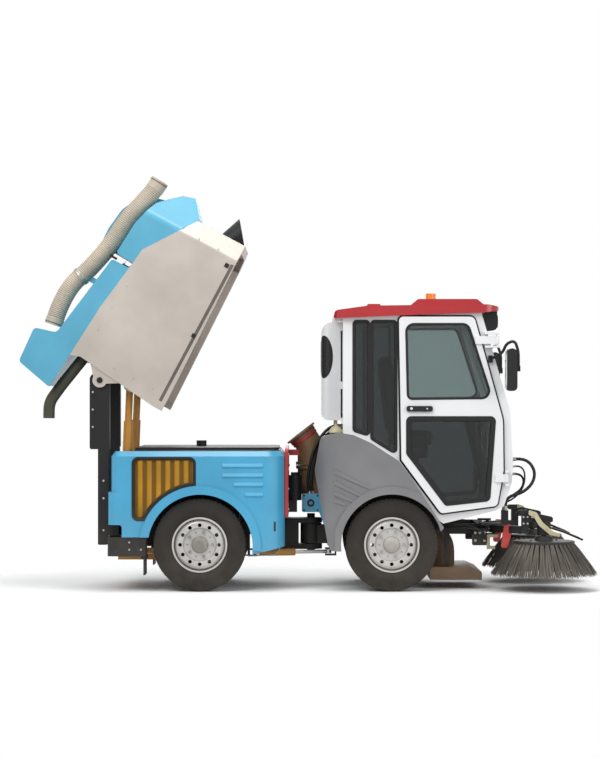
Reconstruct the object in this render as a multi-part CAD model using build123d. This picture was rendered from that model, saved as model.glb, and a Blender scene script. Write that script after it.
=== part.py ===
from build123d import *
import math
import os

os.makedirs("parts", exist_ok=True)

# Compact articulated street sweeper with its hopper tipped up.
# Millimetres, +X forward, +Y to the vehicle's left, +Z up. The sizes below are
# measured from the rear axle; the last lines move the whole model so that its
# origin is the ground point under the middle of its overall box.

# Driving dimensions: wheels and axles
WHEELBASE = 1319.0
PIVOT_BACK = 553.0  # articulation pin behind the front axle
FRONT_DRAWN = 1319.0  # front axle's x in the outlines of the front module
TYRE_R = 321.0
TYRE_W = 195.0
BEAD_R = 190.0
RIM_WALL = 12.0
TRACK_HALF = 480.0
VENTS = 12
AXLE_Z = TYRE_R
AXLE_R = 45.0
HUB_R = 72.0
RUN = 0.3  # running gap at a hub, pin or rod
CLEAR = 5.0  # gap between pieces that move past each other

# Driving dimensions: rear module
REAR_HALF = 588.0
REAR_BACK = -608.0
REAR_STEP = 22.0
REAR_FRONT = 584.0
STEP_Z = 682.0
BODY_TOP = 969.0
BODY_WALL = 30.0
FRONT_CORNER_R = 150.0
BACK_CORNER_R = 60.0
ARCH_R = 360.0
ARCH_X = 5.0
ARCH_Z = 308.0
LIP_W = 58.0
LIP_T = 14.0
RAIL_Y = 250.0
RAIL_W = 60.0
RAIL_Z = 380.0
RAIL_H = 80.0

# Driving dimensions: articulation
PIVOT_X = WHEELBASE - PIVOT_BACK
HITCH_X = FRONT_DRAWN - PIVOT_BACK  # the same pin in the front module's outlines
FRONT_MOVE = WHEELBASE - FRONT_DRAWN
PIVOT_PIN_R = 28.0
PIVOT_HUB_R = 75.0
PIVOT_LOW = 300.0
PIVOT_HIGH = 440.0
FORK_T = 35.0

# Driving dimensions: hopper, u forward and w up from its tipping pin when lowered
PIN_X = -690.0
PIN_Z = 1452.0
PIN_R = 20.0
TIP_DEG = 62.0
HOPPER_HALF = 525.0
PLATE_T = 12.0
EAR_T = 14.0
DOOR_HALF = HOPPER_HALF - 207.0
MAST_W = 79.0
MAST_Y = HOPPER_HALF - PLATE_T - CLEAR - 14.0 - MAST_W

# Driving dimensions: front module
CAB_HALF = 540.0
CAB_WALL = 40.0
DOOR_T = 35.0
FENDER_HALF = CAB_HALF + 52.0
FENDER_WALL = 25.0
FRONT_ARCH_R = 348.0
GLASS_T = 6.0
FRAME_Y = 230.0
DUCT_R = 95.0
DUCT_WALL = 6.0
SWIVEL_Z = 850.0

# Driving dimensions: brooms
BROOM_X = 2379.0
BROOM_Y = 400.0
BROOM_DISC_R = 213.0
BROOM_R = 372.0
BROOM_LOW = 99.0
BROOM_TOP = 342.0
SPINDLE_R = 18.0

parts = {}


def corner(before, at, after, radius):
    """Tangent points and middle of the arc that rounds one corner."""
    (px, py), (ax, ay), (nx, ny) = before, at, after
    back = math.hypot(px - ax, py - ay)
    ahead = math.hypot(nx - ax, ny - ay)
    ux, uy = (px - ax) / back, (py - ay) / back
    vx, vy = (nx - ax) / ahead, (ny - ay) / ahead
    half = math.acos(max(-1.0, min(1.0, ux * vx + uy * vy))) / 2
    run = radius / math.tan(half)
    bx, by = ux + vx, uy + vy
    size = math.hypot(bx, by)
    depth = radius / math.sin(half) - radius
    start = (ax + ux * run, ay + uy * run)
    end = (ax + vx * run, ay + vy * run)
    middle = (ax + bx / size * depth, ay + by / size * depth)
    return start, middle, end


def loop(rows, place):
    """Face inside corners given as (a, b, radius), put in space by place."""
    edges = []
    first = last = None
    count = len(rows)
    for index, (a, b, radius) in enumerate(rows):
        if radius > 0:
            before = rows[index - 1][:2]
            after = rows[(index + 1) % count][:2]
            start, middle, end = corner(before, (a, b), after, radius)
        else:
            start = end = (a, b)
        if last is not None and math.dist(last, start) > 1e-6:
            edges.append(Edge.make_line(place(*last), place(*start)))
        if radius > 0:
            edges.append(Edge.make_three_point_arc(place(*start), place(*middle), place(*end)))
        if first is None:
            first = start
        last = end
    if math.dist(last, first) > 1e-6:
        edges.append(Edge.make_line(place(*last), place(*first)))
    return Face(Wire(edges))


def side(rows, y0, y1):
    """Prism along Y of a side view outline of (x, z, radius) corners."""
    return Solid.extrude(loop(rows, lambda a, b: (a, y0, b)), Vector(0, y1 - y0, 0))


def plan(rows, z0, z1):
    """Prism along Z of a top view outline of (x, y, radius) corners."""
    return Solid.extrude(loop(rows, lambda a, b: (a, b, z0)), Vector(0, 0, z1 - z0))


def cross(rows, x0, x1):
    """Prism along X of a front view outline of (y, z, radius) corners."""
    return Solid.extrude(loop(rows, lambda a, b: (x0, a, b)), Vector(x1 - x0, 0, 0))


def block(x0, x1, y0, y1, z0, z1):
    """Plain box between two corners."""
    return side([(x0, z0, 0), (x1, z0, 0), (x1, z1, 0), (x0, z1, 0)], y0, y1)


def rod(start, end, radius):
    """Round bar from one point to another."""
    a, b = Vector(*start), Vector(*end)
    return Solid.make_cylinder(radius, (b - a).length, Plane(origin=a, z_dir=b - a))


def inset(rows, depth):
    """Outline moved inwards by depth, with mitred corners."""
    area = sum(
        rows[i - 1][0] * rows[i][1] - rows[i][0] * rows[i - 1][1] for i in range(len(rows))
    )
    sign = 1.0 if area > 0 else -1.0
    lines = []
    for i in range(len(rows)):
        (ax, ay, _), (bx, by, _) = rows[i - 1], rows[i]
        size = math.hypot(bx - ax, by - ay)
        dx, dy = (bx - ax) / size, (by - ay) / size
        lines.append((ax - sign * dy * depth, ay + sign * dx * depth, dx, dy))
    moved = []
    for i in range(len(rows)):
        px, py, dx, dy = lines[i]
        qx, qy, ex, ey = lines[(i + 1) % len(rows)]
        turn = dx * ey - dy * ex
        t = ((qx - px) * ey - (qy - py) * ex) / turn
        convex = turn * sign > 0
        radius = rows[i][2]
        if radius > 0:
            radius = max(radius - depth, 1.0) if convex else radius + depth
        moved.append((px + dx * t, py + dy * t, radius))
    return moved


def pair(*solids):
    """The given solids with their mirror images on the other side."""
    return list(solids) + [mirror(one, about=Plane.XZ) for one in solids]


def joined(*solids):
    """One shape fused from all the solids."""
    flat = []
    for one in solids:
        flat += one if isinstance(one, list) else [one]
    return flat[0].fuse(*flat[1:]) if len(flat) > 1 else flat[0]


def common(first, second):
    """Solid shared by two solids."""
    return first.intersect(second).solids()[0]


def group(*solids):
    """Separate solids that share a node."""
    flat = []
    for one in solids:
        flat += one if isinstance(one, list) else [one]
    return Compound([solid for one in flat for solid in one.solids()])


def hose(points, radius, bore=0.0):
    """Bent hose: straight runs joined by arcs as large as the runs allow."""
    vectors = [Vector(*p) for p in points]
    radii = []
    for before, at, after in zip(vectors, vectors[1:], vectors[2:]):
        turn = math.radians((at - before).get_angle(after - at))
        run = min((at - before).length, (after - at).length)
        radii.append(0.45 * run / math.tan(turn / 2))
    path = FilletPolyline(*points, radius=radii)
    start = Plane(origin=path @ 0, z_dir=path % 0)
    ring = Face(Wire.make_circle(radius, start))
    if bore:
        ring = ring - Face(Wire.make_circle(bore, start))
    print("hose radii", [round(r) for r in radii])
    return sweep(ring, path=path)


# Wheels, shaped for the right side with the outer face towards -Y
tyre_half = TYRE_W / 2
bead_half = tyre_half - 17
tyre_profile = [
    (BEAD_R, -bead_half, 4),
    (BEAD_R + 25, -tyre_half, 12),
    (TYRE_R - 30, -tyre_half, 20),
    (TYRE_R, -tyre_half + 22, 12),
    (TYRE_R, tyre_half - 22, 12),
    (TYRE_R - 30, tyre_half, 20),
    (BEAD_R + 25, tyre_half, 12),
    (BEAD_R, bead_half, 4),
]
rim_inner = BEAD_R - RIM_WALL
lip = bead_half + 6
seat_face = 28.0  # disc's inner face, outwards of the tyre's middle
# The disc's section: radius, and distance outwards of the tyre's middle
disc_profile = [
    (0, 62, 0),
    (50, 62, 4),
    (60, 40, 0),
    (108, 44, 0),
    (118, 68, 5),
    (150, 68, 5),
    (165, 62, 0),
    (rim_inner, 40, 0),
    (rim_inner, seat_face, 0),
    (164, 48, 0),
    (150, 56, 0),
    (122, 56, 0),
    (112, seat_face, 0),
    (0, seat_face, 0),
]


def turned(rows, flip=1.0):
    """Solid of revolution about Y of (radius, y) corners."""
    return Solid.revolve(loop(rows, lambda a, b: (a, flip * b, 0)), 360, Axis.Y)


tyre = turned(tyre_profile)
barrel = turned([(rim_inner, -lip, 0), (BEAD_R, -lip, 0), (BEAD_R, lip, 0), (rim_inner, lip, 0)])
disc = turned(disc_profile, -1.0)
vents = [
    Rot(0, i * 360 / VENTS, 0) * rod((134, 0, 0), (134, -lip, 0), 13) for i in range(VENTS)
]
rim = joined(barrel, disc).cut(*vents)
for end, wheel_x in (("rear", 0.0), ("front", WHEELBASE)):
    spot = Pos(wheel_x, -TRACK_HALF, AXLE_Z)
    parts[f"tyre_{end}_right"] = spot * tyre
    parts[f"rim_{end}_right"] = spot * rim
    parts[f"tyre_{end}_left"] = mirror(spot * tyre, about=Plane.XZ)
    parts[f"rim_{end}_left"] = mirror(spot * rim, about=Plane.XZ)


def axle(x, pad_y, pad_w, pad_top):
    """Axle tube with a hub at each end and pads that carry the rails."""
    hub_face = TRACK_HALF + seat_face - RUN
    tube = rod((x, -TRACK_HALF, AXLE_Z), (x, TRACK_HALF, AXLE_Z), AXLE_R)
    hub = rod((x, TRACK_HALF - 70, AXLE_Z), (x, hub_face, AXLE_Z), HUB_R)
    pad = block(x - 60, x + 60, pad_y, pad_y + pad_w, AXLE_Z, pad_top)
    return joined(tube, pair(hub, pad))


parts["rear_axle"] = axle(0.0, RAIL_Y, RAIL_W, RAIL_Z)

# Rear frame: rails, crossbeams, steering fork with its pin, cylinder brackets
rail_top = RAIL_Z + RAIL_H
beam_back = REAR_BACK - REAR_STEP
arm_half = 80.0
fork_low = PIVOT_LOW - CLEAR - FORK_T
fork_high = PIVOT_HIGH + CLEAR + FORK_T
arm_x = PIVOT_X - PIVOT_HUB_R - 12
rails = pair(block(-560, 560, RAIL_Y, RAIL_Y + RAIL_W, RAIL_Z, rail_top))
back_beam = block(beam_back, -560, -500, 500, RAIL_Z, RAIL_Z + 75)
front_beam = block(500, 554, -RAIL_Y - RAIL_W, RAIL_Y + RAIL_W, RAIL_Z, rail_top)
arm = block(500, arm_x, -arm_half, arm_half, fork_low, fork_high)
fork_rows = [
    (arm_x - 30, -arm_half, 0),
    (PIVOT_X + 79, -arm_half, 78),
    (PIVOT_X + 79, arm_half, 78),
    (arm_x - 30, arm_half, 0),
]
forks = [plan(fork_rows, z, z + FORK_T) for z in (fork_low, fork_high - FORK_T)]
pivot_pin = rod((PIVOT_X, 0, fork_low - 30), (PIVOT_X, 0, fork_high + 30), PIVOT_PIN_R)

# Steering cylinder: fixed eye on the rear frame, rod eye on the front frame
STEER_BASE = (374.0, -235.0)
STEER_EYE = (890.0, -129.0)
STEER_Z = 248.0
STEER_R = 26.0
STEER_ROD_R = 13.0
EYE_T = 24.0
LUG_T = 10.0
lug_low = STEER_Z - EYE_T / 2 - CLEAR - LUG_T
lug_high = STEER_Z + EYE_T / 2 + CLEAR + LUG_T
sx, sy = STEER_BASE
steer_bracket = joined(
    block(sx - 52, sx - 36, sy - 30, sy + 30, lug_low, RAIL_Z),
    block(sx - 36, sx + 16, sy - 24, sy + 24, lug_low, lug_low + LUG_T),
    block(sx - 36, sx + 16, sy - 24, sy + 24, lug_high - LUG_T, lug_high),
    block(sx - 52, sx - 36, -RAIL_Y - 10, -RAIL_Y + 45, RAIL_Z - 20, RAIL_Z),
    rod((sx, sy, lug_low), (sx, sy, lug_high), 10),
)

# Tipping cylinders, one each side, moving together
TIP_BASE = (-533.0, 450.0)
TIP_Y = 370.0
TIP_R = 32.0
TIP_ROD_R = 25.0
TIP_PIN_R = 12.0
TIP_EYE = (196.2, -47.1)  # rod eye from the tipping pin, hopper raised
tip_eye_w = 44.0
bx, bz = TIP_BASE
tip_lugs = []
for low in (TIP_Y - tip_eye_w / 2 - CLEAR - LUG_T, TIP_Y + tip_eye_w / 2 + CLEAR):
    tip_lugs.append(side([(-560, 395, 0), (bx + 30, 395, 20), (bx + 30, bz + 30, 20), (-560, bz + 30, 0)],
        low, low + LUG_T))
tip_lugs.append(rod((bx, TIP_Y - 38, bz), (bx, TIP_Y + 38, bz), TIP_PIN_R))
parts["rear_frame"] = joined(
    rails, back_beam, front_beam, arm, forks, pivot_pin, steer_bracket, pair(*tip_lugs)
)

# Blue rear body: shell with rounded corners, arches, grille windows, louvres
def body_plan(back, front, half, back_r, front_r):
    """Top view of the rear body, rounded at its four corners."""
    return [(back, -half, back_r), (front, -half, front_r), (front, half, front_r), (back, half, back_r)]


top_plan = body_plan(REAR_BACK, REAR_FRONT, REAR_HALF, BACK_CORNER_R, FRONT_CORNER_R)
low_plan = body_plan(beam_back, REAR_FRONT, REAR_HALF, BACK_CORNER_R, FRONT_CORNER_R)
body_low = 262.0
upper = plan(top_plan, STEP_Z, BODY_TOP)
upper = upper.chamfer(40, 34, upper.faces().sort_by(Axis.Z)[-1].edges())
lower = plan(low_plan, body_low, STEP_Z)
room = plan(inset(top_plan, BODY_WALL), body_low - 10, BODY_TOP + 10)
bottom_cuts = [
    side([(330, 200, 0), (700, 200, 0), (700, 352, 0), (REAR_FRONT, 307, 0), (382, body_low, 0),
    (330, body_low, 0)], -700, 700),
    side([(-700, 200, 0), (-340, 200, 0), (-340, 374, 0), (-532, 374, 0), (-532, 459, 20), (-700, 459, 0)],
    -700, 700),
]
arch = rod((ARCH_X, -700, ARCH_Z), (ARCH_X, 700, ARCH_Z), ARCH_R)
fork_gate = block(500, 700, -320, 320, 200, 640)
back_gate = block(-700, -500, -410, 410, 620, 1100)
barrel_gates = pair(block(-700, -500, -TIP_Y - 45, -TIP_Y + 45, 495, 640))
window_rows = [(-455, 495, 35), (-34, 495, 0), (-34, 916, 35), (-455, 916, 35)]


def window(rows, y0, y1):
    """Grille window: a rounded rectangle cut by an arc about the arch."""
    return side(rows, y0, y1).cut(rod((ARCH_X, y0 - 5, ARCH_Z), (ARCH_X, y1 + 5, ARCH_Z), 432))


skin = joined(upper, lower).cut(room, *bottom_cuts, arch, fork_gate, back_gate, *barrel_gates)
skin = skin.cut(*pair(window(window_rows, -REAR_HALF - 112, -REAR_HALF + 88)))
outer_lip = rod((ARCH_X, -REAR_HALF - LIP_T, ARCH_Z), (ARCH_X, -REAR_HALF + 2, ARCH_Z), ARCH_R + LIP_W)
arch_lip = outer_lip.cut(arch, block(-700, 700, -700, 700, -200, body_low + 20),
    block(-700, 0, -700, 700, -200, 374))
# Louvre slats: left end and lower edge; all end at the same x
LOUVRE_END = 470.0
LOUVRE_H = 35.0
LOUVRE_T = 10.0
louvre_rows = [(158, 849), (158, 782), (234, 719), (314, 650)]
louvres = []
for louvre_x, louvre_z in louvre_rows:
    section = [
        (-REAR_HALF + 2, louvre_z, 0),
        (-REAR_HALF - LOUVRE_T, louvre_z + 6, 0),
        (-REAR_HALF - LOUVRE_T, louvre_z + 12, 0),
        (-REAR_HALF + 2, louvre_z + LOUVRE_H, 0),
    ]
    louvres.append(cross(section, louvre_x, LOUVRE_END if louvre_x < 400 else 500))
front_flat = REAR_FRONT - FRONT_CORNER_R
louvres = [one.cut(block(front_flat, 700, -700, 700, 0, 1200)) for one in louvres]
parts["rear_panels"] = joined(skin, pair(arch_lip, *louvres))

# Grilles: slatted plates that fill the windows
GRILLE_T = 12.0
RIB_PITCH = 63.0
RIB_R = 25.0
grille_out = -REAR_HALF + 4
plate_in = grille_out + 16
backing = window(window_rows, plate_in, plate_in + GRILLE_T)
rib_rows = inset(window_rows, 17)
ribs = []
rib_x = -455 + 17 + RIB_R + 6
while rib_x < -34 - 17 - RIB_R:
    ribs.append(rod((rib_x, plate_in + 8, 480), (rib_x, plate_in + 8, 930), RIB_R - 1))
    rib_x += RIB_PITCH
rib_field = side(rib_rows, grille_out, plate_in + 4).cut(
    rod((ARCH_X, grille_out - 5, ARCH_Z), (ARCH_X, plate_in + 9, ARCH_Z), 432 + 17)
)
ribs = [solid for rib in ribs for solid in rib.intersect(rib_field).solids()]
grille = joined(backing, *ribs)
parts["side_grilles"] = group(grille, mirror(grille, about=Plane.XZ))

# Deck over the engine, with filler cap and its rear edge short of the cylinders
DECK_BACK = -450.0
deck_rows = body_plan(DECK_BACK, REAR_FRONT - BODY_WALL, REAR_HALF - BODY_WALL, 5,
    FRONT_CORNER_R - BODY_WALL)
deck = plan(deck_rows, BODY_TOP - 24, BODY_TOP)
pan = plan(body_plan(DECK_BACK, 540, 440, 5, 60), BODY_TOP - 24, BODY_TOP + 18)
cap = rod((-12, 0, BODY_TOP), (-12, 0, 1028), 36)
parts["deck"] = joined(deck, pan, cap)

# Engine: one plain block on four feet
engine = block(-380, 260, -235, 235, 400, 880)
feet = pair(*[block(x, x + 70, 200, RAIL_Y + 50, rail_top, rail_top + 30) for x in (-330, 150)])
parts["engine_block"] = joined(engine, feet)

# Red end frame at the front of the rear body, with the duct's saddle
END_T = 24.0
end_rows = [(-470, 504, 10), (470, 504, 10), (470, 983, 30), (-470, 983, 30)]
end_frame = cross(end_rows, REAR_FRONT, REAR_FRONT + END_T).cut(
    cross(inset(end_rows, 60), REAR_FRONT - 5, REAR_FRONT + END_T + 5)
)
DUCT_TOP = (PIVOT_X - 76.0, 0.0, 1085.0)
saddle = block(REAR_FRONT + END_T, PIVOT_X - 40, -45, 45, 923, 963)
saddle = saddle.cut(rod((PIVOT_X, 0, 800), (PIVOT_X, 0, 1200), DUCT_R))
DUCT_DIR = (0.616, -0.788)
duct_knee = (PIVOT_X, 0.0, DUCT_TOP[2] + DUCT_DIR[1] * (PIVOT_X - DUCT_TOP[0]) / DUCT_DIR[0])
upper_points = [DUCT_TOP, duct_knee, (PIVOT_X, 0.0, SWIVEL_Z + CLEAR)]
upper_outer = hose(upper_points, DUCT_R)
saddle = saddle.cut(upper_outer)
parts["end_frame"] = joined(end_frame, saddle)
flange_end = (DUCT_TOP[0] + 14 * DUCT_DIR[0], 0, DUCT_TOP[2] + 14 * DUCT_DIR[1])
collar_end = (DUCT_TOP[0] + 40 * DUCT_DIR[0], 0, DUCT_TOP[2] + 40 * DUCT_DIR[1])
FLANGE_R = DUCT_R + 23
flange = rod(DUCT_TOP, flange_end, FLANGE_R)
collar = rod(DUCT_TOP, collar_end, DUCT_R + 8)
swivel = rod((PIVOT_X, 0, SWIVEL_Z + CLEAR), (PIVOT_X, 0, SWIVEL_Z + CLEAR + 22), DUCT_R + 12)
upper_bore = hose(upper_points, DUCT_R - DUCT_WALL)
parts["upper_duct"] = joined(upper_outer, flange, collar, swivel).cut(upper_bore)

# Air filter drum beside the pivot, on a foot from the end frame
drum_x = REAR_FRONT + END_T
DRUM_Y = -200.0
DRUM_R = 46.0
DRUM_LOW = 612.0
DRUM_HIGH = 788.0
drum_mid = drum_x + DRUM_R
drum = rod((drum_mid, DRUM_Y, DRUM_LOW), (drum_mid, DRUM_Y, DRUM_HIGH), DRUM_R)
drum_cap = rod((drum_mid, DRUM_Y, DRUM_HIGH), (drum_mid, DRUM_Y, DRUM_HIGH + 20), DRUM_R - 16)
drum_foot = block(drum_x, drum_x + 60, DRUM_Y - 30, DRUM_Y + 30, 530, DRUM_LOW)
drum_room = block(0, drum_x, DRUM_Y - 100, DRUM_Y + 100, 500, 900)
parts["air_filter"] = joined(drum, drum_cap, drum_foot).cut(drum_room)

# Rear bumper with side cheeks, and mud flaps hanging behind the wheels
BUMPER_LOW = 244.0
bumper_rows = [
    (beam_back - 2, -590, 40), (-366, -590, 12), (-366, -470, 0),
    (-560, -470, 0), (-560, 470, 0), (-366, 470, 0), (-366, 590, 12), (beam_back - 2, 590, 40),
]
bumper = plan(bumper_rows, BUMPER_LOW, 374)
flap = block(-385, -373, -575, -395, 114, BUMPER_LOW)
flap_top = block(-400, -366, -560, -400, BUMPER_LOW - 22, BUMPER_LOW)
parts["rear_bumper"] = joined(bumper, pair(flap, flap_top))
TOW_BORE_R = 12.5
tow_bore = rod((-554, 0, 200), (-554, 0, BUMPER_LOW), TOW_BORE_R)
parts["tow_beam"] = joined(
    block(-578, -304, 280, 340, 205, BUMPER_LOW - 1),
    block(-578, -304, -340, -280, 205, BUMPER_LOW - 1),
    block(-578, -530, -280, 280, 205, BUMPER_LOW - 1),
    pair(block(-560, -540, 280, 320, BUMPER_LOW - 1, RAIL_Z)),
).cut(tow_bore)

# Mast: two uprights at the back that carry the tipping pins
MAST_BACK = PIN_X - 71
MAST_FRONT = PIN_X + 66
mast_out = MAST_Y + MAST_W
upright = side(
    [(MAST_BACK, 976, 15), (beam_back - 74, 976, 0), (beam_back - 74, 317, 10), (-636, 317, 10),
     (-636, RAIL_Z, 0), (beam_back, RAIL_Z, 0), (beam_back, 976, 0), (MAST_FRONT, 976, 0),
     (MAST_FRONT, PIN_Z + 50, 45), (MAST_BACK, PIN_Z + 50, 45)],
    -mast_out, -MAST_Y,
)
mast_pin = rod((PIN_X, -mast_out - CLEAR - EAR_T - PLATE_T, PIN_Z), (PIN_X, -MAST_Y, PIN_Z), PIN_R)
mast_tie = block(beam_back - 60, beam_back, -MAST_Y, MAST_Y, 500, 560)
parts["tip_mast"] = joined(pair(upright, mast_pin), mast_tie)

# Hopper, shaped in (u, w) from the tipping pin and then tipped up
tipped = Pos(PIN_X, 0, PIN_Z) * Rot(0, -TIP_DEG, 0)
HOPPER_NOSE = 1290.0
REAR_WALL_U = 118.0
RAIL_DEEP = 65.0
BEVEL_U = 1170.0
BEVEL_Y = 400.0


def hopper_floor(u):
    """Lower edge of the hopper's side at u."""
    return -476.0 + (u - 13.0) * 30.0 / 1277.0


top_line = [(1290, -75), (1154, 7), (931, 162), (781, 182), (447, 232)]
hopper_plan = [
    (-60, -HOPPER_HALF, 0), (BEVEL_U, -HOPPER_HALF, 30), (HOPPER_NOSE, -BEVEL_Y, 20),
    (HOPPER_NOSE, BEVEL_Y, 20), (BEVEL_U, HOPPER_HALF, 30), (-60, HOPPER_HALF, 0),
]
shell_rows = [(13, hopper_floor(13) + RAIL_DEEP, 0),
    (HOPPER_NOSE, hopper_floor(HOPPER_NOSE) + RAIL_DEEP, 0)]
shell_rows += [(u, w, 0) for u, w in top_line] + [(81, 191, 0)]
box_rows = [(REAR_WALL_U, hopper_floor(REAR_WALL_U) + RAIL_DEEP, 0)] + shell_rows[1:-1] + [(REAR_WALL_U,
    195, 0)]
shell = common(side(shell_rows, -HOPPER_HALF, HOPPER_HALF), plan(hopper_plan, -600, 400))
inner_plan = inset(hopper_plan, PLATE_T)
hollow = side(inset(box_rows, PLATE_T), -HOPPER_HALF + PLATE_T, HOPPER_HALF - PLATE_T)
hollow = common(hollow, plan(inner_plan, -600, 400))
behind = block(-100, REAR_WALL_U, -HOPPER_HALF + PLATE_T, HOPPER_HALF - PLATE_T, -600, 400)
DOOR_LOW = -392.0
DOOR_HIGH = 118.0
chute = block(0, 200, -DOOR_HALF + 18, DOOR_HALF - 18, DOOR_LOW + 18, DOOR_HIGH - 18)
INLET_W = -319.0
INLET_R = 87.0
inlet = rod((HOPPER_NOSE - 50, 0, INLET_W), (HOPPER_NOSE + 50, 0, INLET_W), INLET_R - 8)
shell = shell.cut(hollow, behind, chute, inlet)
parts["hopper_shell"] = tipped * shell

# Hopper frame: bottom rails, ears on the tipping pins, hinge and cylinder lugs
rail_rows = [
    (13, hopper_floor(13), 0), (HOPPER_NOSE, hopper_floor(HOPPER_NOSE), 0),
    (HOPPER_NOSE, hopper_floor(HOPPER_NOSE) + RAIL_DEEP, 0), (13, hopper_floor(13) + RAIL_DEEP, 0),
]
frame_hole = plan([(REAR_WALL_U - 45, -455, 0), (BEVEL_U - 40, -455, 0), (HOPPER_NOSE - 60, -340, 0),
                   (HOPPER_NOSE - 60, 340, 0), (BEVEL_U - 40, 455, 0), (REAR_WALL_U - 45, 455, 0)], -600, 0)
rear_notch = block(-100, REAR_WALL_U - 50, -mast_out - CLEAR, mast_out + CLEAR, -600, 400)
under = common(side(rail_rows, -HOPPER_HALF, HOPPER_HALF), plan(hopper_plan, -600, 400))
flange_low = (DUCT_TOP[0] - PIN_X - 60 * DUCT_DIR[0], 0, DUCT_TOP[2] - PIN_Z - 60 * DUCT_DIR[1])
flange_high = (DUCT_TOP[0] - PIN_X + 60 * DUCT_DIR[0], 0, DUCT_TOP[2] - PIN_Z + 60 * DUCT_DIR[1])
flange_room = rod(flange_low, flange_high, FLANGE_R + CLEAR + 2)
under = under.cut(flange_room)
under = under.cut(frame_hole, block(-100, REAR_WALL_U - 40, -455, 455, -600, 0), rear_notch)
ear_y = HOPPER_HALF - PLATE_T
ear = side([(0, -50, 0), (REAR_WALL_U, -260, 0), (REAR_WALL_U, 150, 0), (0, 50, 0)], -ear_y, -ear_y + EAR_T)
ear = joined(ear, rod((0, -ear_y, 0), (0, -ear_y + EAR_T, 0), 50))
ear = ear.cut(rod((0, -ear_y - 5, 0), (0, -ear_y + EAR_T + 5, 0), PIN_R + RUN))
eye_u = TIP_EYE[0] * math.cos(math.radians(TIP_DEG)) + TIP_EYE[1] * math.sin(math.radians(TIP_DEG))
eye_w = -TIP_EYE[0] * math.sin(math.radians(TIP_DEG)) + TIP_EYE[1] * math.cos(math.radians(TIP_DEG))
clevis = []
for low in (TIP_Y - tip_eye_w / 2 - CLEAR - LUG_T, TIP_Y + tip_eye_w / 2 + CLEAR):
    clevis.append(side([(eye_u - 30, eye_w - 30, 25), (REAR_WALL_U, eye_w - 70, 0),
        (REAR_WALL_U, eye_w + 70, 0), (eye_u - 30, eye_w + 30, 25)], -low - LUG_T, -low))
HINGE_U = 80.0
HINGE_W = 150.0
hinge_lug = side([(HINGE_U - 20, HINGE_W - 20, 15), (REAR_WALL_U, HINGE_W - 20, 0),
    (REAR_WALL_U, HINGE_W + 25, 0), (HINGE_U - 20, HINGE_W + 25, 15)], -310, -295)
hinge_pin = rod((HINGE_U, -310, HINGE_W), (HINGE_U, 310, HINGE_W), 10)
seal = side([(81, 191, 0), (447, 232, 0), (60, 262, 0)], -HOPPER_HALF, HOPPER_HALF)
seal = seal.cut(block(-100, REAR_WALL_U, -ear_y + EAR_T, ear_y - EAR_T, 0, 232))
frame_part = group(under, pair(ear, *clevis), joined(pair(hinge_lug), hinge_pin), seal)
parts["hopper_frame"] = tipped * frame_part

# Dump door on the hopper's rear wall, hinged at its top
DUMP_T = 25.0
dump_plate = block(REAR_WALL_U - CLEAR - DUMP_T, REAR_WALL_U - CLEAR, -DOOR_HALF, DOOR_HALF, DOOR_LOW,
    DOOR_HIGH)
knuckle = rod((HINGE_U, -280, HINGE_W), (HINGE_U, 280, HINGE_W), 20)
hinge_arm = block(HINGE_U + 8, REAR_WALL_U - CLEAR - 8, -280, 280, DOOR_HIGH - 5, HINGE_W)
dump_ribs = pair(block(REAR_WALL_U - CLEAR - DUMP_T - 14, REAR_WALL_U - CLEAR - DUMP_T, 190, 220, DOOR_LOW,
    DOOR_HIGH))
dump = joined(dump_plate, knuckle, hinge_arm, dump_ribs)
dump = dump.cut(rod((HINGE_U, -290, HINGE_W), (HINGE_U, 290, HINGE_W), 10 + RUN))
parts["dump_door"] = tipped * dump

# Blue covers over the hopper, hollow mouldings
COVER_T = 20.0
cover_plan = [
    (-260, -HOPPER_HALF, 60), (1180, -HOPPER_HALF, 60), (1436, -190, 90),
    (1436, 190, 90), (1180, HOPPER_HALF, 60), (-260, HOPPER_HALF, 60),
]
top_points = [(447, 232), (781, 182), (931, 162)]


def on_line(points, x):
    """Height at x of a line through (x, z) points."""
    for (ax, az), (bx, bz) in zip(points, points[1:]):
        if ax <= x <= bx:
            return az + (bz - az) * (x - ax) / (bx - ax)
    return points[-1][1]


COVER_SPLIT = (777.0, 819.0)
rear_rows = [
    (COVER_SPLIT[0], on_line(top_points, COVER_SPLIT[0]), 0), (447, 232, 0), (60, 262, 0), (-204, 287, 10),
    (-145, 552, 30),
    (110, 568, 30), (151, 416, 40), (777, 315, 20),
]
front_rows = [
    (COVER_SPLIT[1], on_line(top_points, COVER_SPLIT[1]), 0), (828, 310, 20), (1071, 292, 80),
    (1262, 240, 60),
    (1323, 191, 30), (1404, 114, 0), (1431, 28, 15), (1312, -70, 0), (1290, -75, 0),
    (1154, 7, 0), (931, 162, 0),
]
HOSE_R = 65.0
HOSE_Y = -HOPPER_HALF + 195.0
HUMP_HALF = -HOSE_Y - HOSE_R - 25
hump_rows = [(824, 250, 0), (831, 464, 60), (962, 467, 60), (1122, 445, 150), (1277, 366, 90),
    (1323, 191, 0)]


def cover(rows, name, humps=()):
    """Hollow moulded cover: side outline rounded in plan, open underneath."""
    outer = common(side(rows, -HOPPER_HALF, HOPPER_HALF), plan(cover_plan, -200, 700))
    inner = side(inset(rows, COVER_T), -HOPPER_HALF + COVER_T, HOPPER_HALF - COVER_T)
    inner = common(inner, plan(inset(cover_plan, COVER_T), -200, 700))
    parts[name] = tipped * joined(outer, *humps).cut(inner)


cover(rear_rows, "cover_rear")
cover(front_rows, "cover_front", [side(hump_rows, -HUMP_HALF, HUMP_HALF)])

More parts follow.
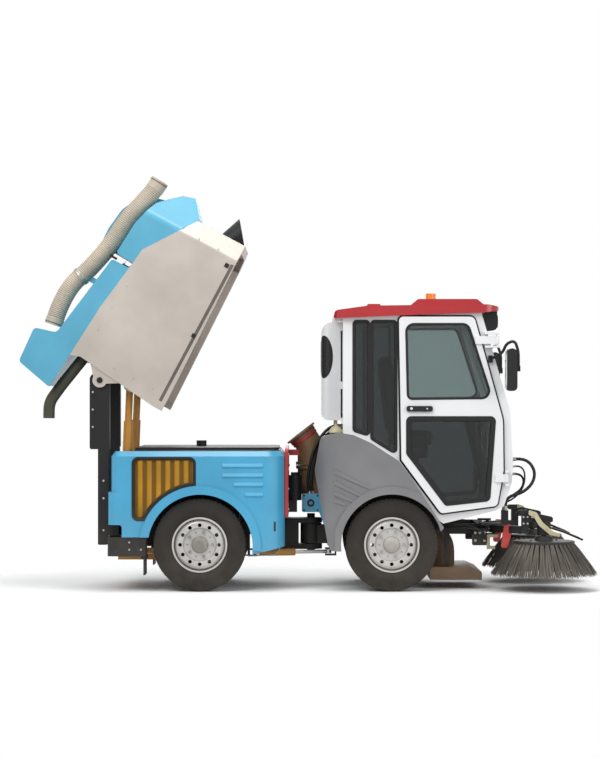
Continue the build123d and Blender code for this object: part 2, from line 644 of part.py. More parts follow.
# Corrugated hose over the covers, held by a clamp
hose_rows = [(178, 480), (330, 505), (500, 500), (640, 440), (880, 385), (1071, 372), (1241, 325),
    (1345, 300), (1420, 295)]
hose_points = [(u, HOSE_Y, w) for u, w in hose_rows]
trunk = hose(hose_points, HOSE_R)
trunk_bore = hose(hose_points, HOSE_R - 8)
clamp = rod((560, HOSE_Y, 480), (590, HOSE_Y, 464), HOSE_R + 9)
hose_feet = [block(u, u + 40, HOSE_Y - 15, HOSE_Y + 15, low, high) for u, low,
    high in ((565, 349.3, 430), (1000, 297.4, 350))]
trunk = joined(trunk, clamp, *hose_feet).cut(trunk_bore)
parts["wander_hose"] = tipped * trunk

# Dark inlet funnel on the hopper's front, meeting the duct's flange when lowered
gap = 6.0
mate = (DUCT_TOP[0] - PIN_X - gap * DUCT_DIR[0], 0, DUCT_TOP[2] - PIN_Z - gap * DUCT_DIR[1])


def funnel(wall_r, mouth_r):
    """Loft from the round hole in the hopper's front to the mating mouth."""
    wall = Wire.make_circle(wall_r, Plane(origin=(HOPPER_NOSE, 0, INLET_W), x_dir=(0, 1, 0),
        z_dir=(1, 0, 0)))
    mouth = Wire.make_circle(mouth_r, Plane(origin=mate, x_dir=(0, 1, 0),
        z_dir=(DUCT_DIR[0], 0, DUCT_DIR[1])))
    return Solid.make_loft([wall, mouth], ruled=True)


parts["inlet_funnel"] = tipped * funnel(INLET_R, DUCT_R + 12).cut(funnel(INLET_R - 8, DUCT_R + 2))

# Drain pipe under the rear cover, olive
DRAIN_R = 40.0
drain_rows = [(REAR_WALL_U, 172), (25, 190), (-160, 226), (-304, 246), (-402, 196)]
DRAIN_Y = -HOPPER_HALF + 125.0
drain_points = [(u, DRAIN_Y, w) for u, w in drain_rows]
drain = hose(drain_points, DRAIN_R).cut(block(REAR_WALL_U, 200, DRAIN_Y - 100, DRAIN_Y + 100, 0, 400))
parts["drain_pipe"] = tipped * drain.cut(hose(drain_points, DRAIN_R - 6))

# Tipping cylinders: barrels turn on the rear frame, rods meet the hopper's clevis
tip_eye = (PIN_X + TIP_EYE[0], TIP_Y, PIN_Z + TIP_EYE[1])
tip_base = (TIP_BASE[0], TIP_Y, TIP_BASE[1])


def along(a, b, distance):
    """Point on the line from a towards b."""
    size = math.dist(a, b)
    return tuple(p + (q - p) * distance / size for p, q in zip(a, b))


def ring(at, axis, radius, bore, width):
    """Round eye about an axis through the point at."""
    half = Vector(*axis) * (width / 2)
    centre = Vector(*at)
    body = rod(tuple(centre - half), tuple(centre + half), radius)
    return body, rod(tuple(centre - half * 1.5), tuple(centre + half * 1.5), bore)


TIP_BARREL = 720.0
tip_span = math.dist(tip_base, tip_eye)
TIP_EYE_R = 22.0
eye, eye_bore = ring(tip_base, (0, 1, 0), TIP_EYE_R, TIP_PIN_R + RUN, tip_eye_w)
neck = rod(along(tip_base, tip_eye, 20), along(tip_base, tip_eye, 48), 20)
barrel_body = rod(along(tip_base, tip_eye, 46), along(tip_base, tip_eye, TIP_BARREL), TIP_R)
barrel_bore = rod(along(tip_base, tip_eye, 340), along(tip_base, tip_eye, TIP_BARREL + 5), TIP_ROD_R + RUN)
barrel = joined(barrel_body, neck, eye).cut(eye_bore, barrel_bore)
parts["tip_barrels"] = group(barrel, mirror(barrel, about=Plane.XZ))
eye, eye_bore = ring(tip_eye, (0, 1, 0), 28, TIP_PIN_R + RUN, tip_eye_w)
rod_body = rod(along(tip_base, tip_eye, 520), along(tip_base, tip_eye, tip_span - 20), TIP_ROD_R)
tip_rod = joined(rod_body, eye).cut(eye_bore)
parts["tip_rods"] = group(tip_rod, mirror(tip_rod, about=Plane.XZ))

# Steering cylinder, right side
steer_base = (STEER_BASE[0], STEER_BASE[1], STEER_Z)
steer_eye = (STEER_EYE[0] + FRONT_MOVE, STEER_EYE[1], STEER_Z)
STEER_BARREL = 285.0
steer_span = math.dist(steer_base, steer_eye)
eye, eye_bore = ring(steer_base, (0, 0, 1), 20, 10 + RUN, EYE_T)
barrel_body = rod(along(steer_base, steer_eye, 36), along(steer_base, steer_eye, STEER_BARREL), STEER_R)
barrel_bore = rod(along(steer_base, steer_eye, 55), along(steer_base, steer_eye, STEER_BARREL + 5),
    STEER_ROD_R + RUN)
neck = rod(along(steer_base, steer_eye, 14), along(steer_base, steer_eye, 40), 11)
parts["steer_barrel"] = joined(barrel_body, eye, neck).cut(eye_bore, barrel_bore)
eye, eye_bore = ring(steer_eye, (0, 0, 1), 20, 10 + RUN, EYE_T)
rod_body = rod(along(steer_base, steer_eye, 150), along(steer_base, steer_eye, steer_span - 14),
    STEER_ROD_R)
parts["steer_rod"] = joined(rod_body, eye).cut(eye_bore)

# Front frame: housing on the pivot pin, rails, beams and broom pivots
parts["front_axle"] = axle(WHEELBASE, FRAME_Y, RAIL_W, RAIL_Z)
housing = rod((HITCH_X, 0, PIVOT_LOW), (HITCH_X, 0, PIVOT_HIGH), PIVOT_HUB_R)
tongue = block(HITCH_X, 900, -60, 60, PIVOT_LOW, PIVOT_HIGH - 10)
FRAME_BACK = 880.0
FRAME_FRONT = 1990.0
frame_rails = pair(block(FRAME_BACK, FRAME_FRONT, FRAME_Y, FRAME_Y + RAIL_W, RAIL_Z, RAIL_Z + 70))
rear_tie = block(FRAME_BACK, FRAME_BACK + 40, -FRAME_Y - RAIL_W, FRAME_Y + RAIL_W, PIVOT_LOW,
    PIVOT_HIGH - 5)
front_tie = block(FRAME_FRONT - 60, FRAME_FRONT, -FRAME_Y - RAIL_W, FRAME_Y + RAIL_W, RAIL_Z, RAIL_Z + 70)
ARM_PIVOT = (2040.0, 260.0)
arm_z = RAIL_Z + 35.0
arm_boss = pair(block(FRAME_FRONT, ARM_PIVOT[0] + 25, ARM_PIVOT[1] - 25, ARM_PIVOT[1] + 25, arm_z - 45,
    arm_z - 30),
                block(FRAME_FRONT, ARM_PIVOT[0] + 25, ARM_PIVOT[1] - 25, ARM_PIVOT[1] + 25, arm_z + 30,
                arm_z + 45),
                rod((ARM_PIVOT[0], ARM_PIVOT[1], arm_z - 45), (ARM_PIVOT[0], ARM_PIVOT[1], arm_z + 45), 12),
                block(FRAME_FRONT - 20, FRAME_FRONT, ARM_PIVOT[1] - 25, ARM_PIVOT[1] + 25, arm_z - 45,
                arm_z + 45))
clevis_x, clevis_y = STEER_EYE
steer_web = block(FRAME_BACK + 52, FRAME_BACK + 64, clevis_y - 40, clevis_y + 26, lug_low, PIVOT_LOW)
steer_lug = [
    block(clevis_x - 26, FRAME_BACK + 64, clevis_y - 40, clevis_y + 26, z, z + LUG_T)
    for z in (lug_low, lug_high - LUG_T)
]
web_top = block(FRAME_BACK, FRAME_BACK + 64, clevis_y - 40, clevis_y + 26, PIVOT_LOW - 2, PIVOT_LOW + 60)
MOUTH_TOP = 151.0
hangers = pair(block(1700, 1730, FRAME_Y + 15, FRAME_Y + 45, MOUTH_TOP, RAIL_Z + 5))
bore = rod((HITCH_X, 0, 0), (HITCH_X, 0, 900), PIVOT_PIN_R + RUN)
front_frame = joined(housing, tongue, frame_rails, rear_tie, front_tie, arm_boss, steer_lug, steer_web,
    web_top, hangers)
CARRIER_Y, CARRIER_Z, CARRIER_HOLE_R = 100.0, 20.0, 8.5
carrier_mid = RAIL_Z + 35
carrier_holes = [
    rod((FRAME_FRONT - 70, y, carrier_mid + z), (FRAME_FRONT + 10, y, carrier_mid + z), CARRIER_HOLE_R)
    for y in (-CARRIER_Y, CARRIER_Y) for z in (-CARRIER_Z, CARRIER_Z)
]
parts["front_frame"] = front_frame.cut(bore, *carrier_holes)

# Lower duct from the swivel down through the front frame to the suction mouth
duct_rows = [(HITCH_X, SWIVEL_Z), (HITCH_X, 690), (1010, 482), (1440, 482), (1690, 315), (1690, MOUTH_TOP)]
duct_points = [(x, 0, z) for x, z in duct_rows]
duct = hose(duct_points, DUCT_R)
lower_ring = rod((HITCH_X, 0, SWIVEL_Z - 22), (HITCH_X, 0, SWIVEL_Z), DUCT_R + 12)
parts["lower_duct"] = joined(duct, lower_ring).cut(hose(duct_points, DUCT_R - DUCT_WALL))

# Suction mouth close to the ground, open underneath
MOUTH_LOW = 62.0
mouth_rows = [(1596, MOUTH_LOW, 0), (1956, MOUTH_LOW, 0), (1956, 120, 20), (1880, MOUTH_TOP, 20),
    (1596, MOUTH_TOP, 20)]
mouth = side(mouth_rows, -330, 330)
mouth = mouth.cut(side(inset(mouth_rows, 14), -316, 316), block(1610, 1942, -316, 316, 0, 90))
mouth = mouth.cut(rod((1690, 0, 100), (1690, 0, 200), DUCT_R - DUCT_WALL))
parts["suction_mouth"] = mouth

# Cab: white shell over the front frame, hollow, with door and window openings
CAB_BACK = 985.0
SIDE_POINTS = [(1056, 1075), (1181, 1019), (1363, 900), (1433, 809), (1643, 488)]
ROOF_LINE = [(918, 1876), (1368, 1895), (1936, 1915), (2058, 1928)]


FENDER_TOP = [(832, 1061), (971, 1089)] + SIDE_POINTS
SILL_LINE = [(1672, 466), (2032, 555), (2090, 586)]
cab_rows = [(CAB_BACK, on_line(FENDER_TOP, CAB_BACK), 0)]
cab_rows += [(x, z, 0) for x, z in SIDE_POINTS]
cab_rows += [
    (1672, 466, 15), (2032, 555, 0), (2090, 586, 20), (2146, 753, 60), (2153, 879, 150), (2132, 1243, 300),
    (1936, 1915, 0), (1368, 1895, 0), (CAB_BACK, on_line(ROOF_LINE, CAB_BACK), 0),
]
door_rows = [
    (1368, 1887, 30), (1385, 904, 20), (1656, 538, 30), (2041, 590, 30),
    (2084, 826, 120), (2080, 1181, 300), (1883, 1887, 40),
]
upper_window = [(1413, 1840, 55), (1425, 1319, 35), (2010, 1325, 55), (1844, 1840, 55)]
lower_window = inset([(1398, 1223, 55), (1398, 940, 45), (1678, 569, 45), (2010, 605, 55),
    (2054, 1223, 55)], 24)
# Quarter windows: back, front, low at the back, low at the front
quarter_rows = [(1058, 1163, 1105, 1072), (1180, 1350, 1050, 945)]
quarter_top = 1858.0
cab_in = CAB_HALF - CAB_WALL
cab = side(cab_rows, -CAB_HALF, CAB_HALF).cut(side(inset(cab_rows, CAB_WALL), -cab_in, cab_in))
door_hole = side(inset(door_rows, 28), -CAB_HALF - 5, -cab_in + 5)
quarters = [
    [(x0, z0, 20), (x1, z1, 20), (x1, quarter_top, 20), (x0, quarter_top, 20)] for x0, x1, z0,
    z1 in quarter_rows
]
quarter_holes = [side(rows, -CAB_HALF - 5, -cab_in + 5) for rows in quarters]
pane_out, pane_in = -CAB_HALF + 70, -CAB_HALF + 260
rear_hole_rows = [(pane_out, 1220, 25), (pane_in, 1220, 25), (pane_in, 1800, 25), (pane_out, 1800, 25)]
rear_hole = cross(rear_hole_rows, CAB_BACK - 5, CAB_BACK + CAB_WALL + 5)
screen_half = CAB_HALF - 60
screen_rows = [(-screen_half, 700, 60), (screen_half, 700, 60), (screen_half, 1850, 60),
    (-screen_half, 1850, 60)]
screen_hole = cross(screen_rows, 1700, 2300)
cab = cab.cut(*pair(door_hole, *quarter_holes, rear_hole), screen_hole)

# Door hinges: axis points at the upper and lower hinge, right side
HINGE_Y = -CAB_HALF - 50.0
HINGE_TOP = (2040.0, 1727.0)
HINGE_LOW = (2105.0, 780.0)
STRAP_H = 54.0
LUG_GAP = 12.0
PIN_HINGE_R = 6.0
door_axis = (HINGE_TOP[0] - HINGE_LOW[0], HINGE_TOP[1] - HINGE_LOW[1])


def axis_point(z):
    """Point of the door's hinge axis at height z."""
    x = HINGE_LOW[0] + door_axis[0] * (z - HINGE_LOW[1]) / door_axis[1]
    return (x, HINGE_Y, z)


lugs, straps, knuckle_bores = [], [], []
for (hx, hz), lug_back in ((HINGE_TOP, 1955.0), (HINGE_LOW, 2094.0)):
    reach = STRAP_H / 2 + LUG_GAP
    for low in (hz - reach - 14, hz + reach):
        lugs.append(block(lug_back, hx + 16, HINGE_Y - 14, -CAB_HALF, low, low + 14))
    lugs.append(rod(axis_point(hz - reach - 10), axis_point(hz + reach + 10), PIN_HINGE_R))
    strap = block(lug_back - 65, hx, HINGE_Y - 6, -CAB_HALF - CLEAR - DOOR_T, hz - STRAP_H / 2,
        hz + STRAP_H / 2)
    straps.append(strap)
    straps.append(rod(axis_point(hz - STRAP_H / 2), axis_point(hz + STRAP_H / 2), 14))
    knuckle_bores.append(rod(axis_point(hz - 60), axis_point(hz + 60), PIN_HINGE_R + RUN))
parts["cab_shell"] = joined(cab, pair(*lugs))

door_out = -CAB_HALF - CLEAR - DOOR_T
door_in = -CAB_HALF - CLEAR
door = side(door_rows, door_out, door_in)
door = door.cut(side(upper_window, door_out - 5, door_in + 5),
    side(lower_window, door_out - 5, door_in + 5))
handle = side([(1423, 1240, 12), (1595, 1240, 12), (1595, 1271, 12), (1423, 1271, 12)], door_out - 14,
    door_out)
door = joined(door, handle, straps).cut(*knuckle_bores)
parts["door_right"] = door
parts["door_left"] = mirror(door, about=Plane.XZ)
pane_y = door_out + 12
panes = group(side(upper_window, pane_y, pane_y + GLASS_T), side(lower_window, pane_y, pane_y + GLASS_T))
parts["door_glass_right"] = panes
parts["door_glass_left"] = mirror(panes, about=Plane.XZ)
quarter_panes = [side(rows, -CAB_HALF + 10, -CAB_HALF + 10 + GLASS_T) for rows in quarters]
rear_pane = cross(rear_hole_rows, CAB_BACK + 15, CAB_BACK + 15 + GLASS_T)
parts["cab_glass"] = group(pair(*quarter_panes, rear_pane))
screen_wide = screen_half + 10
screen = side(inset(cab_rows, 10), -screen_wide, screen_wide)
screen = screen.cut(side(inset(cab_rows, 10 + GLASS_T), -screen_wide - 5, screen_wide + 5))
parts["windscreen"] = common(screen, screen_hole)

# Red roof with a raised middle, beacon and lamp pods
roof_rows = [
    (918, 1876, 12), (1368, 1895, 0), (1936, 1915, 0), (2058, 1928, 10), (2058, 1958, 14),
    (1980, 1972, 30), (1158, 1963, 80), (930, 1932, 25),
]
ROOF_HALF = CAB_HALF + 45
roof_plan = [(915, -ROOF_HALF, 90), (2060, -ROOF_HALF, 110), (2060, ROOF_HALF, 110), (915, ROOF_HALF, 90)]
roof = common(side(roof_rows, -ROOF_HALF - 5, ROOF_HALF + 5), plan(roof_plan, 1800, 2100))
ROOF_TOP = 1972.0
ROOF_RISE = 45.0
raised_z = ROOF_TOP + ROOF_RISE
raised_rows = [(1440, 1940, 0), (1440, 1960, 0), (1508, raised_z, 25), (1918, raised_z, 25),
    (1990, 1960, 0), (1990, 1940, 0)]
raised = side(raised_rows, -ROOF_HALF + 205, ROOF_HALF - 205)
vent = side([(1158, 1940, 0), (1158, 1989, 12), (1254, 1989, 12), (1254, 1940, 0)], -220, 220)
parts["cab_roof"] = joined(roof, raised, vent)
beacon = rod((1617, 0, raised_z), (1617, 0, raised_z + 10), 42)
dome = rod((1617, 0, raised_z + 10), (1617, 0, raised_z + 53), 36)
parts["beacon"] = joined(beacon, dome)
pod_rows = [(1984, 1792, 10), (2044, 1800, 15), (2050, on_line(ROOF_LINE, 2050), 0),
    (1964, on_line(ROOF_LINE, 1964), 0)]
parts["lamp_pods"] = group(pair(side(pod_rows, -480, -330)))

# Mirrors on arms from the front pillars
mirror_y = -CAB_HALF - 150
mirror_head = side([(2092, 1377, 30), (2163, 1377, 30), (2163, 1666, 35), (2092, 1666, 35)], mirror_y - 75,
    mirror_y + 75)
arm_points = [
    (1996, -CAB_HALF - 16, 1600), (2030, -CAB_HALF - 70, 1612), (2072, mirror_y + 45, 1640),
    (2096, mirror_y + 15, 1700), (2150, mirror_y, 1722), (2176, mirror_y, 1650), (2176, mirror_y, 1530),
]
mirror_arm = hose(arm_points, 10)
mirror_clamp = block(2155, 2188, mirror_y - 18, mirror_y + 18, 1510, 1550)
mirror_foot = block(1982, 2012, -CAB_HALF - 22, -CAB_HALF, 1572, 1622)
head = joined(mirror_head, mirror_arm, mirror_clamp, mirror_foot)
parts["mirrors"] = group(pair(head))

# Grey fenders around the front wheels, open inside
FENDER_IN = 300.0
FENDER_BACK = 770.0
fender_rows = [(790, 823, 60), (832, 1061, 50), (971, 1089, 0)]
fender_rows += [(x, z, 0) for x, z in SIDE_POINTS]
fender_rows += [(1676, 440, 10), (1640, 400, 0), (FRONT_DRAWN, AXLE_Z, 0), (986, 278, 0), (901, 278, 15),
    (881, 320, 10)]
FENDER_CORNER_R = 280.0
fender_plan = [(FENDER_BACK, -FENDER_HALF, FENDER_CORNER_R), (1700, -FENDER_HALF, 10),
    (1700, -FENDER_IN, 0), (FENDER_BACK, -FENDER_IN, 0)]
inner_fender = [(FENDER_BACK + FENDER_WALL, -FENDER_HALF + FENDER_WALL, FENDER_CORNER_R - FENDER_WALL),
    (1800, -FENDER_HALF + FENDER_WALL, 0), (1800, -FENDER_IN + 50, 0),
    (FENDER_BACK + FENDER_WALL, -FENDER_IN + 50, 0)]
front_arch = rod((FRONT_DRAWN, -700, AXLE_Z), (FRONT_DRAWN, 700, AXLE_Z), FRONT_ARCH_R)
fender = common(side(fender_rows, -FENDER_HALF, -FENDER_IN), plan(fender_plan, 200, 1200))
fender_room = common(side(inset(fender_rows, FENDER_WALL), -FENDER_HALF + FENDER_WALL, -FENDER_IN + 50),
    plan(inner_fender, 200, 1200))
fender = fender.cut(fender_room, front_arch)
fender_lip = rod((FRONT_DRAWN, -FENDER_HALF - 10, AXLE_Z), (FRONT_DRAWN, -FENDER_HALF + 2, AXLE_Z),
    FRONT_ARCH_R + 52)
lip_keep = side(fender_rows, -FENDER_HALF - 20, -FENDER_HALF + 2)
fender_lip = common(fender_lip, lip_keep).cut(front_arch, block(0, 930, -700, 0, 0, 600))
# Fender louvres: back and front ends of each raised rib
fender_ribs = [(925, 838, 1167, 711), (925, 765, 1111, 656), (925, 690, 1056, 621), (925, 641, 1000, 600)]
ribs = []
RIB_OUT = 8.0
RIB_REACH = 192.0
rib_band = plan(inset(fender_plan, -RIB_OUT), 200, 1200).cut(plan(inset(fender_plan, 5), 190, 1210))
for x0, z0, x1, z1 in fender_ribs:
    rib_side = side([(x0, z0 - 30, 0), (x1, z1 - 8, 4), (x1, z1 + 8, 4), (x0, z0, 0)], -FENDER_HALF - 20,
        -FENDER_HALF + RIB_REACH)
    ribs.append(common(rib_side, rib_band))
parts["front_fenders"] = group(pair(joined(fender, fender_lip, *ribs)))

# Climate unit on the cab's back wall
CLIMATE_HALF = 250.0
climate_rows = [(838, 1173, 55), (CAB_BACK, 1173, 0), (CAB_BACK, 1858, 0), (838, 1858, 75)]
climate_plan = [(838, -CLIMATE_HALF, 60), (CAB_BACK, -CLIMATE_HALF, 0), (CAB_BACK, CLIMATE_HALF, 0),
    (838, CLIMATE_HALF, 60)]
parts["climate_unit"] = common(side(climate_rows, -CLIMATE_HALF, CLIMATE_HALF),
    plan(climate_plan, 1100, 1900))

# Seat on a pedestal that follows the cab's stepped floor
pedestal = block(1480, 1600, -160, 160, 500, 1010).cut(cab).solids().sort_by(Axis.Z)[-1]
cushion = side([(1310, 1010, 30), (1640, 1010, 40), (1640, 1105, 50), (1310, 1085, 30)], -250, 250)
backrest = side([(1300, 1060, 20), (1400, 1060, 20), (1330, 1640, 45), (1235, 1640, 45)], -235, 235)
parts["seat"] = joined(pedestal, cushion, backrest)

# Steering column and wheel
column_top = (1880.0, 0.0, 1215.0)
column = joined(rod((2010, 0, 520), (2010, 0, 720), 55), rod((2010, 0, 700), column_top, 40))
column = column.cut(cab).solids().sort_by(Axis.Z)[-1]
wheel_dir = Vector(-150, 0, 555).normalized()
wheel_centre = Vector(*column_top) + wheel_dir * 20
rim_plane = Plane(origin=wheel_centre, z_dir=wheel_dir)
wheel_rim = Solid.make_torus(185, 15, rim_plane)
spokes = [rim_plane * Rot(0, 0, a) * Pos(92, 0, 0) * Box(190, 24, 14) for a in (90, 210, 330)]
hub = Solid.make_cylinder(45, 30, Plane(origin=Vector(*column_top), z_dir=wheel_dir))
parts["steering_column"] = joined(column, wheel_rim, hub, *[s.solids()[0] for s in spokes])

# Front frame's cab mounts, fender posts and hose block
mounts = pair(side([(1700, RAIL_Z + 60, 0), (1760, RAIL_Z + 60, 0), (1760, on_line(SILL_LINE, 1760), 0),
    (1700, on_line(SILL_LINE, 1700), 0)], -FRAME_Y - RAIL_W, -FRAME_Y))
posts = pair(side([(1000, RAIL_Z + 60, 0), (1050, RAIL_Z + 60, 0), (1050, on_line(FENDER_TOP, 1050), 0),
    (1000, on_line(FENDER_TOP, 1000), 0)], -FENDER_IN, -FRAME_Y - 10))
hose_plate = block(1940, 2130, -440, -270, RAIL_Z + 70, RAIL_Z + 82)
hose_block = block(2085, 2130, -440, -360, RAIL_Z + 82, 550)
parts["front_frame"] = joined(parts["front_frame"], mounts, posts, hose_plate, hose_block)

# Broom arms and brooms
ARM_H = 50.0
ARM_W = 56.0
MOTOR_TOP = 500.0


def beam(start, end, width, z0, z1):
    """Flat bar between two plan points."""
    (ax, ay), (bx, by) = start, end
    size = math.hypot(bx - ax, by - ay)
    nx, ny = -(by - ay) / size * width / 2, (bx - ax) / size * width / 2
    return plan([(ax + nx, ay + ny, 0), (ax - nx, ay - ny, 0), (bx - nx, by - ny, 0),
        (bx + nx, by + ny, 0)], z0, z1)


elbow = (2250.0, -395.0)
arm_start = (ARM_PIVOT[0], -ARM_PIVOT[1])
arm_low = arm_z - ARM_H / 2
broom_centre = (BROOM_X, -BROOM_Y)
knuckle = rod((*arm_start, arm_low), (*arm_start, arm_low + ARM_H), 28)
lower_beam = beam(arm_start, elbow, ARM_W, arm_low, arm_low + ARM_H)
riser = block(2225, 2275, -425, -365, arm_low, MOTOR_TOP + 20)
upper_arm = side([(2225, MOTOR_TOP - 30, 10), (2440, MOTOR_TOP - 30, 10), (2440, MOTOR_TOP + 5, 15),
    (2300, MOTOR_TOP + 35, 30), (2225, MOTOR_TOP + 20, 10)], -425, -375)
motor = rod((*broom_centre, BROOM_TOP + 38), (*broom_centre, MOTOR_TOP - 20), 48)
spindle = rod((*broom_centre, BROOM_TOP), (*broom_centre, BROOM_TOP + 40), SPINDLE_R)
lever = side([(2095, arm_low - 100, 12), (2130, arm_low - 100, 12), (2158, arm_low + 30, 12),
    (2110, arm_low + 40, 12)], -352, -330)
guard = joined(rod((2425, -400, 430), (2520, -400, 400), 7), rod((2520, -400, 400), (2650, -400, 345), 7))
arm_right = joined(knuckle, lower_beam, riser, upper_arm, motor, spindle, lever, guard)
arm_right = arm_right.cut(rod((*arm_start, 300), (*arm_start, 600), 12 + RUN))
parts["broom_arm_right"] = arm_right
parts["broom_arm_left"] = mirror(arm_right, about=Plane.XZ)
broom_profile = [
    (0, BROOM_TOP - 22, 0), (BROOM_DISC_R - 63, BROOM_TOP - 22, 0), (290, BROOM_LOW, 0),
    (BROOM_R, BROOM_LOW, 0),
    (BROOM_DISC_R, BROOM_TOP - 15, 0), (BROOM_DISC_R, BROOM_TOP, 4), (70, BROOM_TOP, 0),
    (60, BROOM_TOP + 32, 5), (0, BROOM_TOP + 32, 0),
]
broom = Solid.revolve(loop(broom_profile, lambda a, b: (a, 0, b)), 360, Axis.Z)
broom = broom.cut(rod((0, 0, BROOM_TOP - CLEAR), (0, 0, BROOM_TOP + 40), SPINDLE_R + RUN))
parts["broom_right"] = Pos(BROOM_X, -BROOM_Y, 0) * broom
parts["broom_left"] = Pos(BROOM_X, BROOM_Y, 0) * broom

# Hoses: two loops at the cab's front
FRONT_HOSE_R = 11.0
front_hose = [(2155, -410, 904), (2214, -412, 912), (2280, -420, 886), (2318, -420, 815), (2300, -415, 735),
    (2230, -410, 672), (2150, -402, 652), (2112, -400, 615), (2112, -400, 550)]
parts["front_hose_big"] = hose(front_hose, FRONT_HOSE_R)
small_hose = [(2155, -330, 800), (2212, -335, 806), (2250, -345, 762), (2230, -358, 695), (2165, -374, 655),
    (2112, -380, 612), (2112, -380, 550)]
parts["front_hose_small"] = hose(small_hose, FRONT_HOSE_R - 3)

# The front module moves from its outlines' axle to the wheelbase
FRONT_NODES = [
    "front_frame", "lower_duct", "suction_mouth", "cab_shell", "cab_roof", "beacon", "lamp_pods",
    "windscreen",
    "cab_glass", "front_fenders", "climate_unit", "seat", "steering_column", "mirrors", "front_hose_big",
    "front_hose_small", "door_right", "door_left", "door_glass_right", "door_glass_left", "broom_arm_right",
    "broom_arm_left", "broom_right", "broom_left",
]
for name in FRONT_NODES:
    parts[name] = Pos(FRONT_MOVE, 0, 0) * parts[name]

# The origin goes to the ground under the middle of the overall box
boxes = [shape.bounding_box() for name, shape in parts.items() if "hose_" not in name]
middle = (min(b.min.X for b in boxes) + max(b.max.X for b in boxes)) / 2
print("origin shift", round(middle, 4))
for name, shape in parts.items():
    moved = [solid.moved(Location((-middle, 0, 0))) for solid in shape.solids()]
    export_step(Compound(moved), f"parts/{name}.step")
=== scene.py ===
# %% [markdown]
# # A compact articulated street sweeper
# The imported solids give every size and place. This script dresses them: paint, steel, rubber and glass get
# node materials, and the pieces that a solid shows too plainly, such as tyres, bristles and the ribbed hose,
# are worked out as grids of points. The hopper is tipped up, as in the photograph.

import math

import bmesh
import bpy
import numpy as np
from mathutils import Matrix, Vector


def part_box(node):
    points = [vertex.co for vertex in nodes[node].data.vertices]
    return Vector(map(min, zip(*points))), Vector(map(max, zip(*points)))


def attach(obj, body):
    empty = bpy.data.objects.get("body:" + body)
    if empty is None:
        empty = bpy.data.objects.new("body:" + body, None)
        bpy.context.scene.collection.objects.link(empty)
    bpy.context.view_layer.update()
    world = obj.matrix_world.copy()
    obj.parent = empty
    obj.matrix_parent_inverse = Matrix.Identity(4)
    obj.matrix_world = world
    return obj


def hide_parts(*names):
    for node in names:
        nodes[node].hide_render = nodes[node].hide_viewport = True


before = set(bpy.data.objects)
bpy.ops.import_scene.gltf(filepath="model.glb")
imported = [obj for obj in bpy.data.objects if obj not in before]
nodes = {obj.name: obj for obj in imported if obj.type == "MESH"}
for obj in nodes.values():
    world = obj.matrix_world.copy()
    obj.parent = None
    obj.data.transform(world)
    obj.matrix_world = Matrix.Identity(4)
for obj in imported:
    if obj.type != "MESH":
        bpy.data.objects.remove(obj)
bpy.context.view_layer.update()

# %% [markdown]
# Lengths are easiest to read in millimetres from the rear axle, with +X forward, +Y to the vehicle's left and
# +Z up. The rear tyre's box says where that axle lies in the shared frame, so one function turns such
# millimetres into the frame's metres.

# %% From workshop millimetres to the frame
tyre_low, tyre_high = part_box("tyre_rear_right")
REAR_AXLE_X = (tyre_low.x + tyre_high.x) / 2
PHOTO_SCALE = 0.00685  # metres for one pixel of the photograph at the near side


def place(points):
    """Metres in the frame from rows of millimetres: divide by 1000, then add the rear axle's x."""
    return np.asarray(points, float).reshape(-1, 3) / 1000.0 + np.array([REAR_AXLE_X, 0.0, 0.0])


print("rear axle at x", round(REAR_AXLE_X, 4))

# %% [markdown]
# ## Camera
# The photograph was taken from the right side, some 15 m away and about 1.3 m above the road. The lens
# follows from that distance and the picture's 758 pixels of height, each 6.85 mm at the near side. The
# horizon lies 17 pixels under the picture's middle, which a small lens shift gives without tilting uprights.

# %% Camera
NEAR_SIDE, CAMERA_AWAY, HORIZON_Z = -0.588, 15.5, 1.343
PICTURE_HEIGHT, SENSOR = 758, 24.0  # pixels, millimetres
SHIFT_LEFT, SHIFT_UP = 5, 17  # pixels
CAMERA_PX, REAR_AXLE_PX = 305, 199.4  # columns of the photograph
camera_data = bpy.data.cameras.new("camera")
camera_data.sensor_fit = "VERTICAL"
camera_data.sensor_height = SENSOR
camera_data.lens = SENSOR * CAMERA_AWAY / (PICTURE_HEIGHT * PHOTO_SCALE)
camera_data.shift_x = -SHIFT_LEFT / PICTURE_HEIGHT
camera_data.shift_y = SHIFT_UP / PICTURE_HEIGHT
camera_data.clip_end = 200
camera = bpy.data.objects.new("camera", camera_data)
camera.location = (REAR_AXLE_X + (CAMERA_PX - REAR_AXLE_PX) * PHOTO_SCALE, NEAR_SIDE - CAMERA_AWAY, HORIZON_Z)
camera.rotation_euler = (math.pi / 2, 0, 0)
bpy.context.scene.collection.objects.link(camera)
bpy.context.scene.camera = camera
print("lens", round(camera_data.lens, 1), "mm")

# %% [markdown]
# ## Mesh helpers
# Most new pieces are one of three kinds: a grid of points over two parameters, a section carried along a
# path, or a profile turned about an axis. One helper turns any grid into quads, joined up across its seams.

# %% Grid to mesh
def make_piece(name, points, faces, body, smooth=True, angle=40, closed=True):
    """Mesh object from an array of points and a list of face index tuples; it rides on a body.
    A closed shape has its faces turned outwards; an open sheet keeps the order that it was written in."""
    mesh = bpy.data.meshes.new(name)
    mesh.from_pydata(np.asarray(points, float).tolist(), [], [tuple(map(int, f)) for f in faces])
    mesh.update()
    if closed:
        work = bmesh.new()
        work.from_mesh(mesh)
        bmesh.ops.recalc_face_normals(work, faces=work.faces)
        work.to_mesh(mesh)
        work.free()
    piece = bpy.data.objects.new(name, mesh)
    bpy.context.scene.collection.objects.link(piece)
    if smooth:
        mesh.shade_smooth()
        mesh.set_sharp_from_angle(angle=math.radians(angle))
    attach(piece, body)
    return piece


